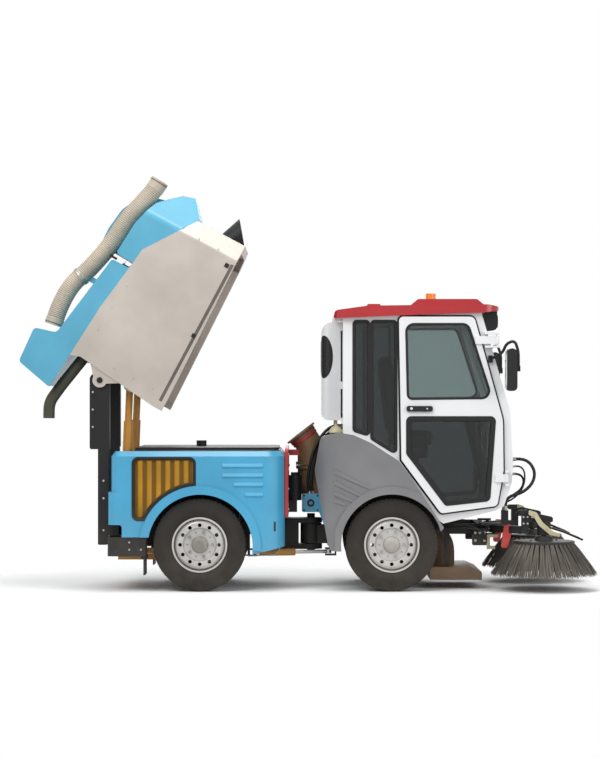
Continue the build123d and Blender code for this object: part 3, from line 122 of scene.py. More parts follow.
def grid_faces(rows, columns, wrap_rows=False, wrap_columns=False, start=0):
    """Quads of a grid: point (i, j) has number i * columns + j, and each quad joins it to its next neighbours."""
    i = np.arange(rows if wrap_rows else rows - 1)
    j = np.arange(columns if wrap_columns else columns - 1)
    i, j = (a.ravel() for a in np.meshgrid(i, j, indexing="ij"))
    ni, nj = (i + 1) % rows, (j + 1) % columns
    quads = np.stack([i * columns + j, i * columns + nj, ni * columns + nj, ni * columns + j], 1)
    return (quads + start).tolist()


# %% [markdown]
# Many small things on the sweeper are the same shape at other places: nuts, slats, bristles. They are kept
# as lists of (points, faces) and merged into one mesh, which is lighter than hundreds of objects.

# %% Merge lists of points and faces
def merge(shapes):
    """One (points, faces) from several, by adding to each face the number of points before it."""
    points, faces, start = [], [], 0
    for some_points, some_faces in shapes:
        points.append(np.asarray(some_points, float))
        faces += [[index + start for index in face] for face in some_faces]
        start += len(some_points)
    return np.concatenate(points), faces


def box_shape(low, high):
    """Eight corners of a box and its six faces, turned outwards."""
    (x0, y0, z0), (x1, y1, z1) = low, high
    points = [(x, y, z) for z in (z0, z1) for x, y in ((x0, y0), (x1, y0), (x1, y1), (x0, y1))]
    faces = [[0, 3, 2, 1], [4, 5, 6, 7], [0, 1, 5, 4], [1, 2, 6, 5], [2, 3, 7, 6], [3, 0, 4, 7]]
    return np.array(points, float), faces


def mirrored(shape):
    """The same shape on the other side: y changes sign and each face runs the other way round."""
    points, faces = shape
    return np.asarray(points) * np.array([1, -1, 1]), [list(reversed(face)) for face in faces]


# %% [markdown]
# Every piece that this script adds gets its material and, where it takes the place of imported nodes,
# those nodes are hidden. Most pieces come in pairs, so a second helper makes the right one as it is given
# and the left one mirrored.

# %% Pieces with their material
SIDES = (("right", -1), ("left", 1))


def fitting(name, shapes, material, body, bevel=0.0012, angle=32, smooth=True, stands_for=()):
    """One object from several shapes; a bevel of two steps breaks its edges, as on cut steel."""
    piece = make_piece(name, *merge(shapes), body, smooth=smooth, angle=angle)
    if bevel:
        edge = piece.modifiers.new("edges", "BEVEL")
        edge.width, edge.segments, edge.angle_limit = bevel, 2, math.radians(50)
    piece.data.materials.append(material)
    if stands_for:
        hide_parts(*stands_for)
    return piece


def pair(name, shapes, material, body, bevel=0.0012, angle=32):
    """The fitting on the right as given and on the left mirrored; {side} in the body's name is filled in."""
    for side, turn in (("right", lambda shape: shape), ("left", mirrored)):
        fitting(f"{name}_{side}", [turn(shape) for shape in shapes], material, body.format(side=side),
            bevel, angle)


def prism_faces(count):
    """Faces of a prism whose two ends have count points each."""
    walls = [[k, (k + 1) % count, count + (k + 1) % count, count + k] for k in range(count)]
    return walls + [list(range(count))[::-1], list(range(count, 2 * count))]


# %% [markdown]
# A turned piece, such as a tyre, hub or lamp, is a profile of (radius, distance along the axis) at many angles.

# %% Turned pieces
def turned(profile, centre, axis, segments=64, closed=True):
    """Points at centre + axis * along + radius * (cos a * side + sin a * up) for each profile row and angle a."""
    profile = np.asarray(profile, float)
    axis = np.asarray(axis, float) / np.linalg.norm(axis)
    helper = np.array([0, 0, 1.0]) if abs(axis[2]) < 0.9 else np.array([1.0, 0, 0])
    side = np.cross(helper, axis)
    side /= np.linalg.norm(side)
    up = np.cross(axis, side)
    a = np.linspace(0, 2 * math.pi, segments, endpoint=False)
    around = np.cos(a)[:, None] * side + np.sin(a)[:, None] * up
    points = np.asarray(centre, float) + profile[:, None, 1:] * axis + profile[:, None, :1] * around[None]
    faces = grid_faces(len(profile), segments, wrap_rows=closed, wrap_columns=True)
    return points.reshape(-1, 3), [list(reversed(face)) for face in faces]


# %% [markdown]
# Hoses, seals and rods are a section carried along a path. The section must not twist on the way, so each
# new frame of directions is the last one, turned only as far as the path itself turns.

# %% Sections along a path
def circles(path, around):
    """Circle of radius 1 at each path point: cos a * side + sin a * up. The side is the last point's side with
    its part along the tangent removed."""
    ahead = np.roll(path, -1, 0) - path
    behind = path - np.roll(path, 1, 0)
    ahead[-1], behind[0] = behind[-1], ahead[0]
    tangent = ahead / np.linalg.norm(ahead, axis=1)[:, None] + behind / np.linalg.norm(behind, axis=1)[:, None]
    tangent /= np.linalg.norm(tangent, axis=1)[:, None]
    side = np.cross(tangent[0], [0, 0, 1.0] if abs(tangent[0][2]) < 0.9 else [0, 1.0, 0])
    sides = []
    for t in tangent:
        side = side - t * side.dot(t)
        side = side / np.linalg.norm(side)
        sides.append(side)
    sides = np.array(sides)
    up = np.cross(sides, tangent)
    a = np.linspace(0, 2 * math.pi, around, endpoint=False)
    return np.cos(a)[None, :, None] * sides[:, None] + np.sin(a)[None, :, None] * up[:, None]


def swept(path, radius, around=16):
    """Rod: point = path + radius * circle, with a face over each end."""
    points = (path[:, None] + radius * circles(path, around)).reshape(-1, 3)
    faces = grid_faces(len(path), around, wrap_columns=True)
    return points, faces + [list(range(around))[::-1], list(range(len(points) - around, len(points)))]


def pipe(path, outer, inner, around=32):
    """Tube with a bore: the outer wall's rings, then the bore's rings backwards, and the two are joined up."""
    circle = circles(path, around)
    walls = [path[:, None] + np.broadcast_to(r, (len(path),))[:, None, None] * circle for r in (outer, inner)]
    points = np.concatenate([walls[0], walls[1][::-1]])
    return points.reshape(-1, 3), grid_faces(len(points), around, wrap_rows=True, wrap_columns=True)


def smooth_path(points, steps=12):
    """Catmull-Rom curve: between two points a cubic whose ends lean along the line through their neighbours."""
    p = np.asarray(points, float)
    p = np.concatenate([[2 * p[0] - p[1]], p, [2 * p[-1] - p[-2]]])
    t = np.linspace(0, 1, steps, endpoint=False)[:, None]
    parts = []
    for a, b, c, d in zip(p, p[1:], p[2:], p[3:]):
        parts.append(0.5 * (2 * b + (c - a) * t + (2 * a - 5 * b + 4 * c - d) * t**2 + (3 * b - a - 3 * c + d) * t**3))
    return np.concatenate([*parts, p[-2:-1]])


# %% [markdown]
# Windows, seals and lamps have rounded outlines in a plane. Each corner is given as (a, b, radius), and the
# helper replaces it by an arc that touches both of its edges.

# %% Rounded outlines
def outline(corners, steps=6):
    """Closed loop: at a corner of half angle h the arc starts radius / tan h before it and ends as far after."""
    loop = []
    count = len(corners)
    for i, (a, b, radius) in enumerate(corners):
        at = np.array([a, b], float)
        back = np.array(corners[i - 1][:2], float) - at
        ahead = np.array(corners[(i + 1) % count][:2], float) - at
        back, ahead = back / np.linalg.norm(back), ahead / np.linalg.norm(ahead)
        half = math.acos(max(-1.0, min(1.0, back.dot(ahead)))) / 2
        if radius <= 0 or half > 1.55:
            loop.append(at)
            continue
        run = radius / math.tan(half)
        middle = at + (back + ahead) / np.linalg.norm(back + ahead) * radius / math.sin(half)
        start, end = at + back * run - middle, at + ahead * run - middle
        turn = math.acos(max(-1.0, min(1.0, start.dot(end) / radius**2)))
        for t in np.linspace(0, 1, steps):
            loop.append(middle + (math.sin((1 - t) * turn) * start + math.sin(t * turn) * end) / math.sin(turn))
    return np.array(loop)


def edges_of(loop):
    """Direction of the edge after each corner, its normal to the inside, and 1 or -1 for the sense of the loop."""
    ahead = np.roll(loop, -1, 0) - loop
    ahead /= np.linalg.norm(ahead, axis=1)[:, None]
    area = np.sum(loop[:, 0] * np.roll(loop[:, 1], -1) - np.roll(loop[:, 0], -1) * loop[:, 1])
    turn = 1.0 if area > 0 else -1.0
    return ahead, turn * np.stack([-ahead[:, 1], ahead[:, 0]], 1), turn


def band(loop, plane, offsets):
    """Frame strip: rows of (inwards, outwards of the plane) offsets, each moved along the loop's own normals."""
    _, edge_normal, turn = edges_of(loop)
    normal = edge_normal + np.roll(edge_normal, 1, 0)
    normal /= np.maximum(np.sum(normal * edge_normal, axis=1), 0.5)[:, None]
    rows = [plane(loop + normal * inwards, out) for inwards, out in offsets]
    faces = grid_faces(len(rows), len(loop), wrap_rows=True, wrap_columns=True)
    return np.concatenate(rows), faces if turn < 0 else [list(reversed(f)) for f in faces]


def on_side(y, sign=-1):
    """Plane across the vehicle: (x, z) and an outward distance become (x, y, z) on the right or left side."""
    return lambda xz, out: np.stack([xz[:, 0], np.full(len(xz), sign * (abs(y) + out)), xz[:, 1]], 1)


# %% [markdown]
# ## Finishes
# A sweeper works in dust, so every finish carries some: more near the road and on faces that look up. That
# effect is one node group with named sockets, placed in each material with its own amounts. It reads Object
# coordinates, which are the frame's own metres, so the height above the road is simply z.

# %% Group helpers
def new_group(name, inputs, outputs):
    """Empty shader group with float or colour sockets: (name, kind, default) in, (name, kind) out."""
    tree = bpy.data.node_groups.new(name, "ShaderNodeTree")
    for label, kind, value in inputs:
        socket = tree.interface.new_socket(name=label, in_out="INPUT", socket_type=kind)
        socket.default_value = value
    for label, kind in outputs:
        tree.interface.new_socket(name=label, in_out="OUTPUT", socket_type=kind)
    return tree, tree.nodes.new("NodeGroupInput"), tree.nodes.new("NodeGroupOutput")


def node(tree, kind, settings=(), links=()):
    """New node with its settings, and with values or other nodes' sockets put on its inputs."""
    made = tree.nodes.new(kind)
    for label, value in dict(settings).items():
        setattr(made, label, value)
    for label, value in dict(links).items():
        if isinstance(value, bpy.types.NodeSocket):
            tree.links.new(value, made.inputs[label])
        else:
            made.inputs[label].default_value = value
    return made


def object_point(tree):
    """Object coordinates, which are the frame's own metres."""
    return node(tree, "ShaderNodeTexCoord").outputs["Object"]


def rescale(tree, value, low=0.0, high=1.0, to_low=0.0, to_high=1.0, settings=()):
    """Value moved from low..high to to_low..to_high and held inside it."""
    links = {"Value": value, "From Min": low, "From Max": high, "To Min": to_low, "To Max": to_high}
    return node(tree, "ShaderNodeMapRange", settings, links).outputs["Result"]


def maths(tree, operation, first, second=0.5, clamp=False):
    """Result of one Math node."""
    return node(tree, "ShaderNodeMath", {"operation": operation, "use_clamp": clamp},
        {0: first, 1: second}).outputs[0]


def mix_colour(tree, share, first, second):
    """First colour where the share is 0, second where it is 1."""
    return node(tree, "ShaderNodeMix", {"data_type": "RGBA"}, {0: share, 6: first, 7: second}).outputs[2]


def noise(tree, vector, scale, detail=2.0, roughness=0.5):
    """Noise between 0 and 1 at a scale in waves per metre."""
    links = {"Vector": vector, "Scale": scale, "Detail": detail, "Roughness": roughness}
    return node(tree, "ShaderNodeTexNoise", links=links).outputs["Fac"]


def new_material(name):
    """Empty material, its tree and its shader."""
    material = bpy.data.materials.new(name)
    material.use_nodes = True
    return material, material.node_tree, material.node_tree.nodes["Principled BSDF"]


# %% [markdown]
# Road dust: the share of dust is the larger of two parts. One fades from the road up to a given height, the
# other is where a face looks up. Both are broken up by a slow noise, so that no clean edge shows.

# %% Road dust group
COLOUR, FLOAT = "NodeSocketColor", "NodeSocketFloat"
dust, dust_in, dust_out = new_group(
    "road_dust",
    [("Colour", COLOUR, (0.5, 0.5, 0.5, 1)), ("Dust", COLOUR, (0.30, 0.26, 0.21, 1)), ("Height", FLOAT, 0.5),
    ("Low", FLOAT, 0.5), ("Tops", FLOAT, 0.2)],
    [("Colour", COLOUR), ("Mask", FLOAT)],
)
coords = object_point(dust)
parts_of = node(dust, "ShaderNodeSeparateXYZ", links={0: coords})
low_part = rescale(dust, parts_of.outputs["Z"], 0.0, dust_in.outputs["Height"], 1.0, 0.0)
low_part = maths(dust, "MULTIPLY", low_part, dust_in.outputs["Low"])
facing = node(dust, "ShaderNodeSeparateXYZ", links={0: node(dust, "ShaderNodeNewGeometry").outputs["Normal"]})
top_part = maths(dust, "MULTIPLY", rescale(dust, facing.outputs["Z"], 0.25, 1.0), dust_in.outputs["Tops"])
patch = rescale(dust, noise(dust, coords, 9.0, 6.0, 0.62), 0.32, 0.68, 0.35, 1.15)
mask = maths(dust, "MULTIPLY", maths(dust, "MAXIMUM", low_part, top_part), patch, clamp=True)
dusty = mix_colour(dust, mask, dust_in.outputs["Colour"], dust_in.outputs["Dust"])
dust.links.new(dusty, dust_out.inputs["Colour"])
dust.links.new(mask, dust_out.inputs["Mask"])

# %% [markdown]
# Fine grain: sprayed paint has a faint orange-peel skin and moulded plastic a fine pebble. Both are a small
# noise, whose scale is given as grains per metre. Long marks, as on brushed steel, come from the same group
# with the coordinates stretched along one axis.

# %% Grain group
grain, grain_in, grain_out = new_group(
    "fine_grain",
    [("Grains", FLOAT, 900.0), ("Stretch X", FLOAT, 1.0), ("Stretch Y", FLOAT, 1.0), ("Stretch Z", FLOAT, 1.0)],
    [("Height", FLOAT), ("Slow", FLOAT)],
)
coords = object_point(grain)
stretch = node(grain, "ShaderNodeCombineXYZ", links={axis: grain_in.outputs[f"Stretch {axis}"] for axis in "XYZ"})
moved = node(grain, "ShaderNodeVectorMath", {"operation": "MULTIPLY"}, {0: coords, 1: stretch.outputs[0]})
grain.links.new(noise(grain, moved.outputs[0], grain_in.outputs["Grains"], 3.0), grain_out.inputs["Height"])
grain.links.new(noise(grain, coords, 3.2, 4.0), grain_out.inputs["Slow"])

# %% [markdown]
# Scuffs: thin, long marks that show a second colour, as where gravel has hit paint or feet have rubbed a
# step. A stretched noise is cut off high, so that only its peaks are left.

# %% Scuff group
scuff, scuff_in, scuff_out = new_group(
    "scuffs", [("Amount", FLOAT, 0.3), ("Size", FLOAT, 30.0)], [("Mask", FLOAT)]
)
stretched = node(scuff, "ShaderNodeMapping", links={
    "Vector": object_point(scuff), "Rotation": (0.3, 0.5, 0.2), "Scale": (1.0, 1.0, 5.0)})
marks = rescale(scuff, noise(scuff, stretched.outputs[0], scuff_in.outputs["Size"], 8.0, 0.7), 0.66, 0.74)
scuff.links.new(maths(scuff, "MULTIPLY", marks, scuff_in.outputs["Amount"], clamp=True), scuff_out.inputs["Mask"])


# %% [markdown]
# One builder makes every opaque finish: a base colour that varies a little over the panel, scuffs, dust on
# top, and a bump. What differs is given in words and numbers where each finish is made below.

# %% Finish builder
def finish(name, colour, rough, metal=0.0, coat=0.0, vary=0.06, grains=900.0, stretch=(1, 1, 1), bump=0.04,
           scuffs=0.25, scuff_colour=(0.25, 0.24, 0.22), height=0.6, low=0.5, tops=0.2, dusted=(0.30, 0.26, 0.21),
           sheen=0.0, specular=0.5):
    """Principled material: colour and roughness vary by the groups, the plain numbers sit on the shader."""
    material, tree, shader = new_material(name)
    skin = node(tree, "ShaderNodeGroup", {"node_tree": grain})
    for label, value in zip(("Grains", "Stretch X", "Stretch Y", "Stretch Z"), (grains, *stretch)):
        skin.inputs[label].default_value = value
    dark = (*(c * (1 - vary * 2) for c in colour), 1)
    light = (*(min(c * (1 + vary), 1.0) for c in colour), 1)
    base = mix_colour(tree, rescale(tree, skin.outputs["Slow"], 0.3, 0.7), dark, light)
    marks = node(tree, "ShaderNodeGroup", {"node_tree": scuff}, {"Amount": scuffs})
    base = mix_colour(tree, marks.outputs["Mask"], base, (*scuff_colour, 1))
    dirt = node(tree, "ShaderNodeGroup", {"node_tree": dust},
                {"Colour": base, "Dust": (*dusted, 1), "Height": height, "Low": low, "Tops": tops})
    tree.links.new(dirt.outputs["Colour"], shader.inputs["Base Color"])
    rougher = rescale(tree, dirt.outputs["Mask"], to_low=rough, to_high=min(rough + 0.45, 0.95))
    spread = rescale(tree, skin.outputs["Height"], to_low=-0.05, to_high=0.05)
    tree.links.new(maths(tree, "ADD", rougher, spread, clamp=True), shader.inputs["Roughness"])
    raised = node(tree, "ShaderNodeBump",
        links={"Strength": bump, "Distance": 0.002, "Height": skin.outputs["Height"]})
    tree.links.new(raised.outputs["Normal"], shader.inputs["Normal"])
    shader.inputs["Metallic"].default_value = metal
    shader.inputs["Coat Weight"].default_value = coat
    shader.inputs["Coat Roughness"].default_value = 0.08
    shader.inputs["Specular IOR Level"].default_value = specular
    if sheen:
        shader.inputs["Sheen Weight"].default_value = sheen
    return material


# %% [markdown]
# The paints: sky blue on the rear body, white on the cab, deep red on the roof, all with a clear coat that
# keeps highlights sharp. Chassis paint is black and duller, and carries more dust because it sits low.

# %% Paints
blue_paint = finish("blue_paint", (0.050, 0.335, 0.55), 0.30, coat=0.3, scuffs=0.12, height=0.6, low=0.18, tops=0.06)
blue_cover = finish("blue_cover", (0.085, 0.365, 0.53), 0.36, coat=0.2, grains=500, bump=0.05, scuffs=0.2, tops=0.06)
white_paint = finish("white_paint", (0.78, 0.79, 0.80), 0.22, coat=0.4, vary=0.02, scuffs=0.1, height=0.9, low=0.22,
    tops=0.06)
red_paint = finish("red_paint", (0.40, 0.008, 0.014), 0.28, coat=0.35, vary=0.05, scuffs=0.04, tops=0.03)
red_frame = finish("red_frame", (0.36, 0.016, 0.02), 0.42, coat=0.1, height=0.9, low=0.15, tops=0.08)
chassis_paint = finish("chassis_paint", (0.012, 0.012, 0.013), 0.5, scuffs=0.15, scuff_colour=(0.09, 0.08, 0.07),
    height=0.5, low=0.2, tops=0.09, specular=0.25)
orange_paint = finish("orange_paint", (0.50, 0.225, 0.03), 0.42, scuffs=0.3, scuff_colour=(0.22, 0.14, 0.07),
    height=0.5, low=0.2, tops=0.1)
cast_iron = finish("cast_iron", (0.03, 0.028, 0.026), 0.62, metal=0.2, grains=260, bump=0.25, height=0.7, low=0.25,
    tops=0.15, specular=0.3)
rim_paint = finish("rim_paint", (0.53, 0.52, 0.50), 0.32, metal=0.35, coat=0.15, vary=0.08, scuffs=0.35, height=0.7,
    low=0.2, tops=0.08)
duct_paint = finish("duct_paint", (0.15, 0.085, 0.038), 0.45, vary=0.25, scuffs=0.5, scuff_colour=(0.28, 0.20, 0.12),
    height=0.9, low=0.12, tops=0.12)

# %% [markdown]
# The hopper is bare stainless sheet, dulled by washing: long fine marks run along the sheet, and the colour
# is slightly warm. The sheet's length is tipped up, so the marks are stretched across the steep direction.

# %% Metals
stainless = finish("stainless", (0.475, 0.43, 0.385), 0.42, metal=0.62, vary=0.06, grains=420,
    stretch=(0.25, 1, 0.12), bump=0.06, scuffs=0.3, scuff_colour=(0.34, 0.30, 0.26), tops=0.1)
bright_steel = finish("bright_steel", (0.62, 0.62, 0.63), 0.22, metal=1.0, vary=0.03, grains=1400, bump=0.02,
    scuffs=0.15, tops=0.1)
zinc_bolt = finish("zinc_bolt", (0.42, 0.40, 0.36), 0.42, metal=0.85, vary=0.1, grains=1500, bump=0.05, tops=0.25)

# %% [markdown]
# Plastics and rubber: the fenders are grey moulded plastic with a soft shine, the bumper and lamp housings
# are black with a pebble. Rubber has almost no mirror shine and takes a grey bloom, so its dust is pale.

# %% Plastics and rubber
grey_plastic = finish("grey_plastic", (0.185, 0.185, 0.192), 0.36, coat=0.12, grains=700, bump=0.05, scuffs=0.2,
    scuff_colour=(0.30, 0.29, 0.27), height=0.8, low=0.15, tops=0.08)
black_plastic = finish("black_plastic", (0.012, 0.012, 0.013), 0.5, grains=650, bump=0.12, scuffs=0.12,
    scuff_colour=(0.05, 0.05, 0.05), height=0.6, low=0.15, tops=0.07, specular=0.28)
yellow_plastic = finish("yellow_plastic", (0.44, 0.215, 0.006), 0.45, vary=0.14, grains=700, bump=0.06, scuffs=0.4,
    scuff_colour=(0.17, 0.08, 0.01), height=1.0, low=0.08, tops=0.08, specular=0.35)
beige_hose = finish("beige_hose", (0.50, 0.435, 0.345), 0.55, vary=0.12, grains=800, bump=0.06, scuffs=0.3,
    scuff_colour=(0.30, 0.25, 0.19), tops=0.08)
olive_plastic = finish("olive_plastic", (0.050, 0.052, 0.034), 0.5, vary=0.15, grains=500, bump=0.08, tops=0.08,
    specular=0.3)
# Black seal rubber; the same black is painted shade in the body slot and at the grille window's edge.
seal_rubber_and_shade = finish("seal_rubber_and_shade", (0.010, 0.010, 0.010), 0.6, grains=1200, bump=0.05, scuffs=0.1,
    scuff_colour=(0.03, 0.03, 0.03), tops=0.05, specular=0.3)
hose_rubber = finish("hose_rubber", (0.012, 0.012, 0.012), 0.48, grains=1500, bump=0.08, scuffs=0.1,
    scuff_colour=(0.04, 0.04, 0.04), tops=0.08, specular=0.3)
nut_steel = finish("nut_steel", (0.38, 0.36, 0.33), 0.5, metal=0.5, vary=0.25, grains=500, bump=0.08, scuffs=0.4,
    height=0.7, low=0.2, tops=0.1)
tyre_rubber = finish("tyre_rubber", (0.016, 0.0135, 0.0115), 0.68, grains=900, bump=0.12, scuffs=0.35,
    scuff_colour=(0.07, 0.06, 0.05), dusted=(0.12, 0.10, 0.08), height=0.75, low=0.3, tops=0.1, specular=0.25)
bristle = finish("bristle", (0.112, 0.099, 0.086), 0.7, vary=0.35, grains=1500, bump=0.05, scuffs=0.4,
    scuff_colour=(0.34, 0.31, 0.27), height=0.4, low=0.3, specular=0.3)
cab_trim = finish("cab_trim", (0.045, 0.047, 0.05), 0.6, grains=1000, bump=0.12, scuffs=0.05, tops=0.1)

# %% [markdown]
# Painted shade darkens the valleys between the yellow slats, which are 63 mm apart. The share of shade is the
# cosine of x over that pitch, cut off high, and the colour also darkens towards the bottom.

# %% Painted shade between the slats
tree = yellow_plastic.node_tree
coords = node(tree, "ShaderNodeSeparateXYZ", links={0: object_point(tree)})
FIRST_SLAT = REAR_AXLE_X - 0.407
SLAT_PITCH = 0.063
phase = maths(tree, "MULTIPLY", maths(tree, "SUBTRACT", coords.outputs["X"], FIRST_SLAT), math.tau / SLAT_PITCH)
slat_shade_and_low_dark = rescale(tree, maths(tree, "COSINE", phase), 0.3, -0.9, 0.0, 0.85)
low_darkening = rescale(tree, coords.outputs["Z"], 0.62, 0.47, 0.0, 0.55)
slat_shade_and_low_dark = maths(tree, "MAXIMUM", slat_shade_and_low_dark, low_darkening)
shader = tree.nodes["Principled BSDF"]
slat_base_colour = shader.inputs["Base Color"].links[0].from_socket
# Painted shade: dark brown mixed into the slat valleys, and a darker colour towards the bottom.
tree.links.new(mix_colour(tree, slat_shade_and_low_dark, slat_base_colour, (0.09, 0.045, 0.006, 1)), shader.inputs["Base Color"])

# %% [markdown]
# Glass lets light through with a grey-green tint, deeper in the lower panes and in the fixed panes behind the
# door. The panes are thin solids, so the tint sits in the base colour. Lenses are the same with a strong
# colour, and the mirrors are polished metal with only a faint haze of dust.

# %% Glass and lenses
def clear(name, colour, rough=0.03, transmission=1.0):
    """Glass: plain transmission on the shader, with roughness raised a little by a film of dust."""
    material, tree, shader = new_material(name)
    shader.inputs["Base Color"].default_value = (*colour, 1)
    shader.inputs["Transmission Weight"].default_value = transmission
    shader.inputs["IOR"].default_value = 1.45
    haze = rescale(tree, noise(tree, object_point(tree), 14.0, 5.0), 0.4, 0.8, rough, rough + 0.06)
    tree.links.new(haze, shader.inputs["Roughness"])
    return material


PALE_TINT, DEEP_TINT = (0.36, 0.43, 0.42), (0.13, 0.15, 0.15)
tinted_glass = clear("tinted_glass", PALE_TINT)
tree = tinted_glass.node_tree
coords = node(tree, "ShaderNodeSeparateXYZ", links={0: object_point(tree)})
upper_share = rescale(tree, coords.outputs["Z"], 1.20, 1.32)
front_share = rescale(tree, coords.outputs["X"], REAR_AXLE_X + 1.360, REAR_AXLE_X + 1.400)
tints = mix_colour(tree, maths(tree, "MINIMUM", upper_share, front_share), (*DEEP_TINT, 1), (*PALE_TINT, 1))
tree.links.new(tints, tree.nodes["Principled BSDF"].inputs["Base Color"])
screen_glass = clear("screen_glass", (0.74, 0.80, 0.79))
amber_lens = clear("amber_lens", (0.95, 0.32, 0.03), rough=0.12, transmission=0.6)
lamp_lens = clear("lamp_lens", (0.9, 0.92, 0.94), rough=0.1, transmission=0.8)
mirror_glass = finish("mirror_glass", (0.75, 0.77, 0.78), 0.04, metal=1.0, vary=0.01, grains=600, bump=0.0,
    scuffs=0.02, tops=0.05)

# %% [markdown]
# Cloth on the seat: a woven cover is two crossed sets of ribs. Two wave textures at right angles give the
# weave its height, and the colour is darker in the gaps between the yarns.

# %% Seat cloth
seat_cloth = finish("seat_cloth", (0.035, 0.037, 0.042), 0.85, grains=1200, bump=0.1, scuffs=0.05, tops=0.05,
    sheen=0.25)
tree = seat_cloth.node_tree
coords = object_point(tree)
warp, weft = (node(tree, "ShaderNodeTexWave", {"bands_direction": axis},
                   {"Vector": coords, "Scale": 160.0, "Distortion": 0.4}).outputs["Fac"] for axis in "XY")
cloth_bump = next(n for n in tree.nodes if n.type == "BUMP")
tree.links.new(maths(tree, "MULTIPLY", warp, weft), cloth_bump.inputs["Height"])
cloth_bump.inputs["Strength"].default_value = 0.35

# %% [markdown]
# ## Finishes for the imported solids
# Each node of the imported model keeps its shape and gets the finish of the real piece.

# %% Put the finishes on the nodes
NODE_FINISH = {
    "rear_frame": chassis_paint, "rear_axle": cast_iron, "rear_panels": blue_paint, "side_grilles": yellow_plastic,
    "deck": black_plastic, "engine_block": cast_iron, "end_frame": red_frame, "air_filter": black_plastic,
    "rear_bumper": black_plastic, "tow_beam": orange_paint, "tip_mast": chassis_paint, "upper_duct": duct_paint,
    "hopper_shell": stainless, "hopper_frame": stainless, "cover_rear": blue_cover, "cover_front": blue_cover,
    "inlet_funnel": hose_rubber, "drain_pipe": olive_plastic, "dump_door": stainless, "tip_barrels": orange_paint,
    "tip_rods": orange_paint, "steer_barrel": orange_paint, "steer_rod": bright_steel, "front_frame": chassis_paint,
    "front_axle": cast_iron, "lower_duct": duct_paint, "suction_mouth": duct_paint, "cab_shell": white_paint,
    "cab_roof": red_paint, "beacon": amber_lens, "lamp_pods": black_plastic, "windscreen": screen_glass,
    "cab_glass": tinted_glass, "front_fenders": grey_plastic, "climate_unit": white_paint,
    "steering_column": cab_trim, "mirrors": black_plastic, "door_right": white_paint, "door_left": white_paint,
    "door_glass_right": tinted_glass, "door_glass_left": tinted_glass, "broom_arm_right": chassis_paint,
    "broom_arm_left": chassis_paint, "broom_right": bristle, "broom_left": bristle, "wander_hose": beige_hose,
    "seat": seat_cloth, "front_hose_big": hose_rubber, "front_hose_small": hose_rubber,
}
for name, item in nodes.items():
    material = NODE_FINISH.get(name)
    if material is None:
        material = tyre_rubber if name.startswith("tyre") else rim_paint
    item.data.materials.clear()
    item.data.materials.append(material)
print("finishes on", len(nodes), "nodes")

# %% [markdown]
# ## Tyres
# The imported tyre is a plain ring, good for sizes. The real one has a ribbed sidewall and a tread of blocks.
# A turned grid is the natural way: one parameter runs across the tyre, the other around it, and the radius
# drops in a groove wherever the two say so. The crown keeps the solid's own radius.

# %% Tyre surface
TYRE_R, TYRE_HALF, BEAD_R, TREAD_HALF = 0.321, 0.0975, 0.1903, 0.078
ACROSS, AROUND, PITCHES = 46, 384, 64
GROOVES, GROOVE_HALF, GROOVE_DEEP, CUT_DEEP = (-0.046, -0.016, 0.016, 0.046), 0.0042, 0.007, 0.003


def tyre_shape(centre):
    """Radius = crown - 4 mm * (y / half)^2 on the tread, minus 7 mm in grooves; sidewalls bulge as half a sine."""
    tread_y = np.linspace(-TREAD_HALF, TREAD_HALF, ACROSS)
    angle = np.linspace(0, 2 * math.pi, AROUND, endpoint=False)
    wall = np.linspace(0, 1, 15)
    wall_r = BEAD_R + (TYRE_R - 0.010 - BEAD_R) * wall
    wall_y = 0.0805 + (TYRE_HALF - 0.0815) * np.sin(math.pi * np.clip(wall * 1.05, 0, 1) ** 0.8)
    for ring in (0.36, 0.60, 0.84):
        wall_y = wall_y + 0.0010 * np.exp(-(((wall - ring) / 0.03) ** 2))
    radius = np.repeat((TYRE_R - 0.004 * (tread_y / TREAD_HALF) ** 2)[:, None], AROUND, 1)
    turn = np.mod(angle[None] * PITCHES / (2 * math.pi) + 6.0 * np.abs(tread_y[:, None]), 1.0)
    zig = 0.0025 * np.sign(np.sin(angle * PITCHES))[None]
    grooves = np.zeros_like(radius)
    for line in GROOVES:
        grooves = np.maximum(grooves, (np.abs(tread_y[:, None] + zig - line) < GROOVE_HALF) * 1.0)
    cross_cut = (turn < 0.22) & (np.abs(tread_y[:, None]) > 0.050)
    middle_cut = (turn < 0.12) & (np.abs(tread_y[:, None]) < 0.046)
    radius -= GROOVE_DEEP * np.maximum(grooves, cross_cut) + CUT_DEEP * middle_cut * (1 - grooves)
    y_rows = np.concatenate([-wall_y, tread_y, wall_y[::-1]])
    walls = np.repeat(wall_r[:, None], AROUND, 1)
    r_rows = np.concatenate([walls, radius, walls[::-1]])
    notches = np.mod(angle[None] * PITCHES / math.tau + 0.47, 1.0) < 0.22
    r_rows -= CUT_DEEP * (((np.abs(y_rows) > TREAD_HALF) & (r_rows.mean(1) > 0.292))[:, None] * notches)
    y_rows = np.broadcast_to(y_rows[:, None], r_rows.shape)
    points = np.stack([np.cos(angle) * r_rows, y_rows, np.sin(angle) * r_rows], 2)
    faces = grid_faces(len(y_rows), AROUND, wrap_rows=True, wrap_columns=True)
    return points.reshape(-1, 3) + centre, [list(reversed(f)) for f in faces]


for end in ("rear", "front"):
    for side in ("right", "left"):
        low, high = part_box(f"tyre_{end}_{side}")
        points, faces = tyre_shape(np.array((low + high) / 2))
        fitting(f"tread_tyre_{end}_{side}", [(points, faces)], tyre_rubber, f"{end}_wheel_{side}",
                bevel=0, angle=35, stands_for=[f"tyre_{end}_{side}"])
print("tyre faces", len(faces))

# %% [markdown]
# ## Wheel nuts and hub cap
# The pressed disc is in the solid. Its five large and five small nuts, the cap over the hub and the valve are
# small turned pieces, all merged into one mesh for each wheel.

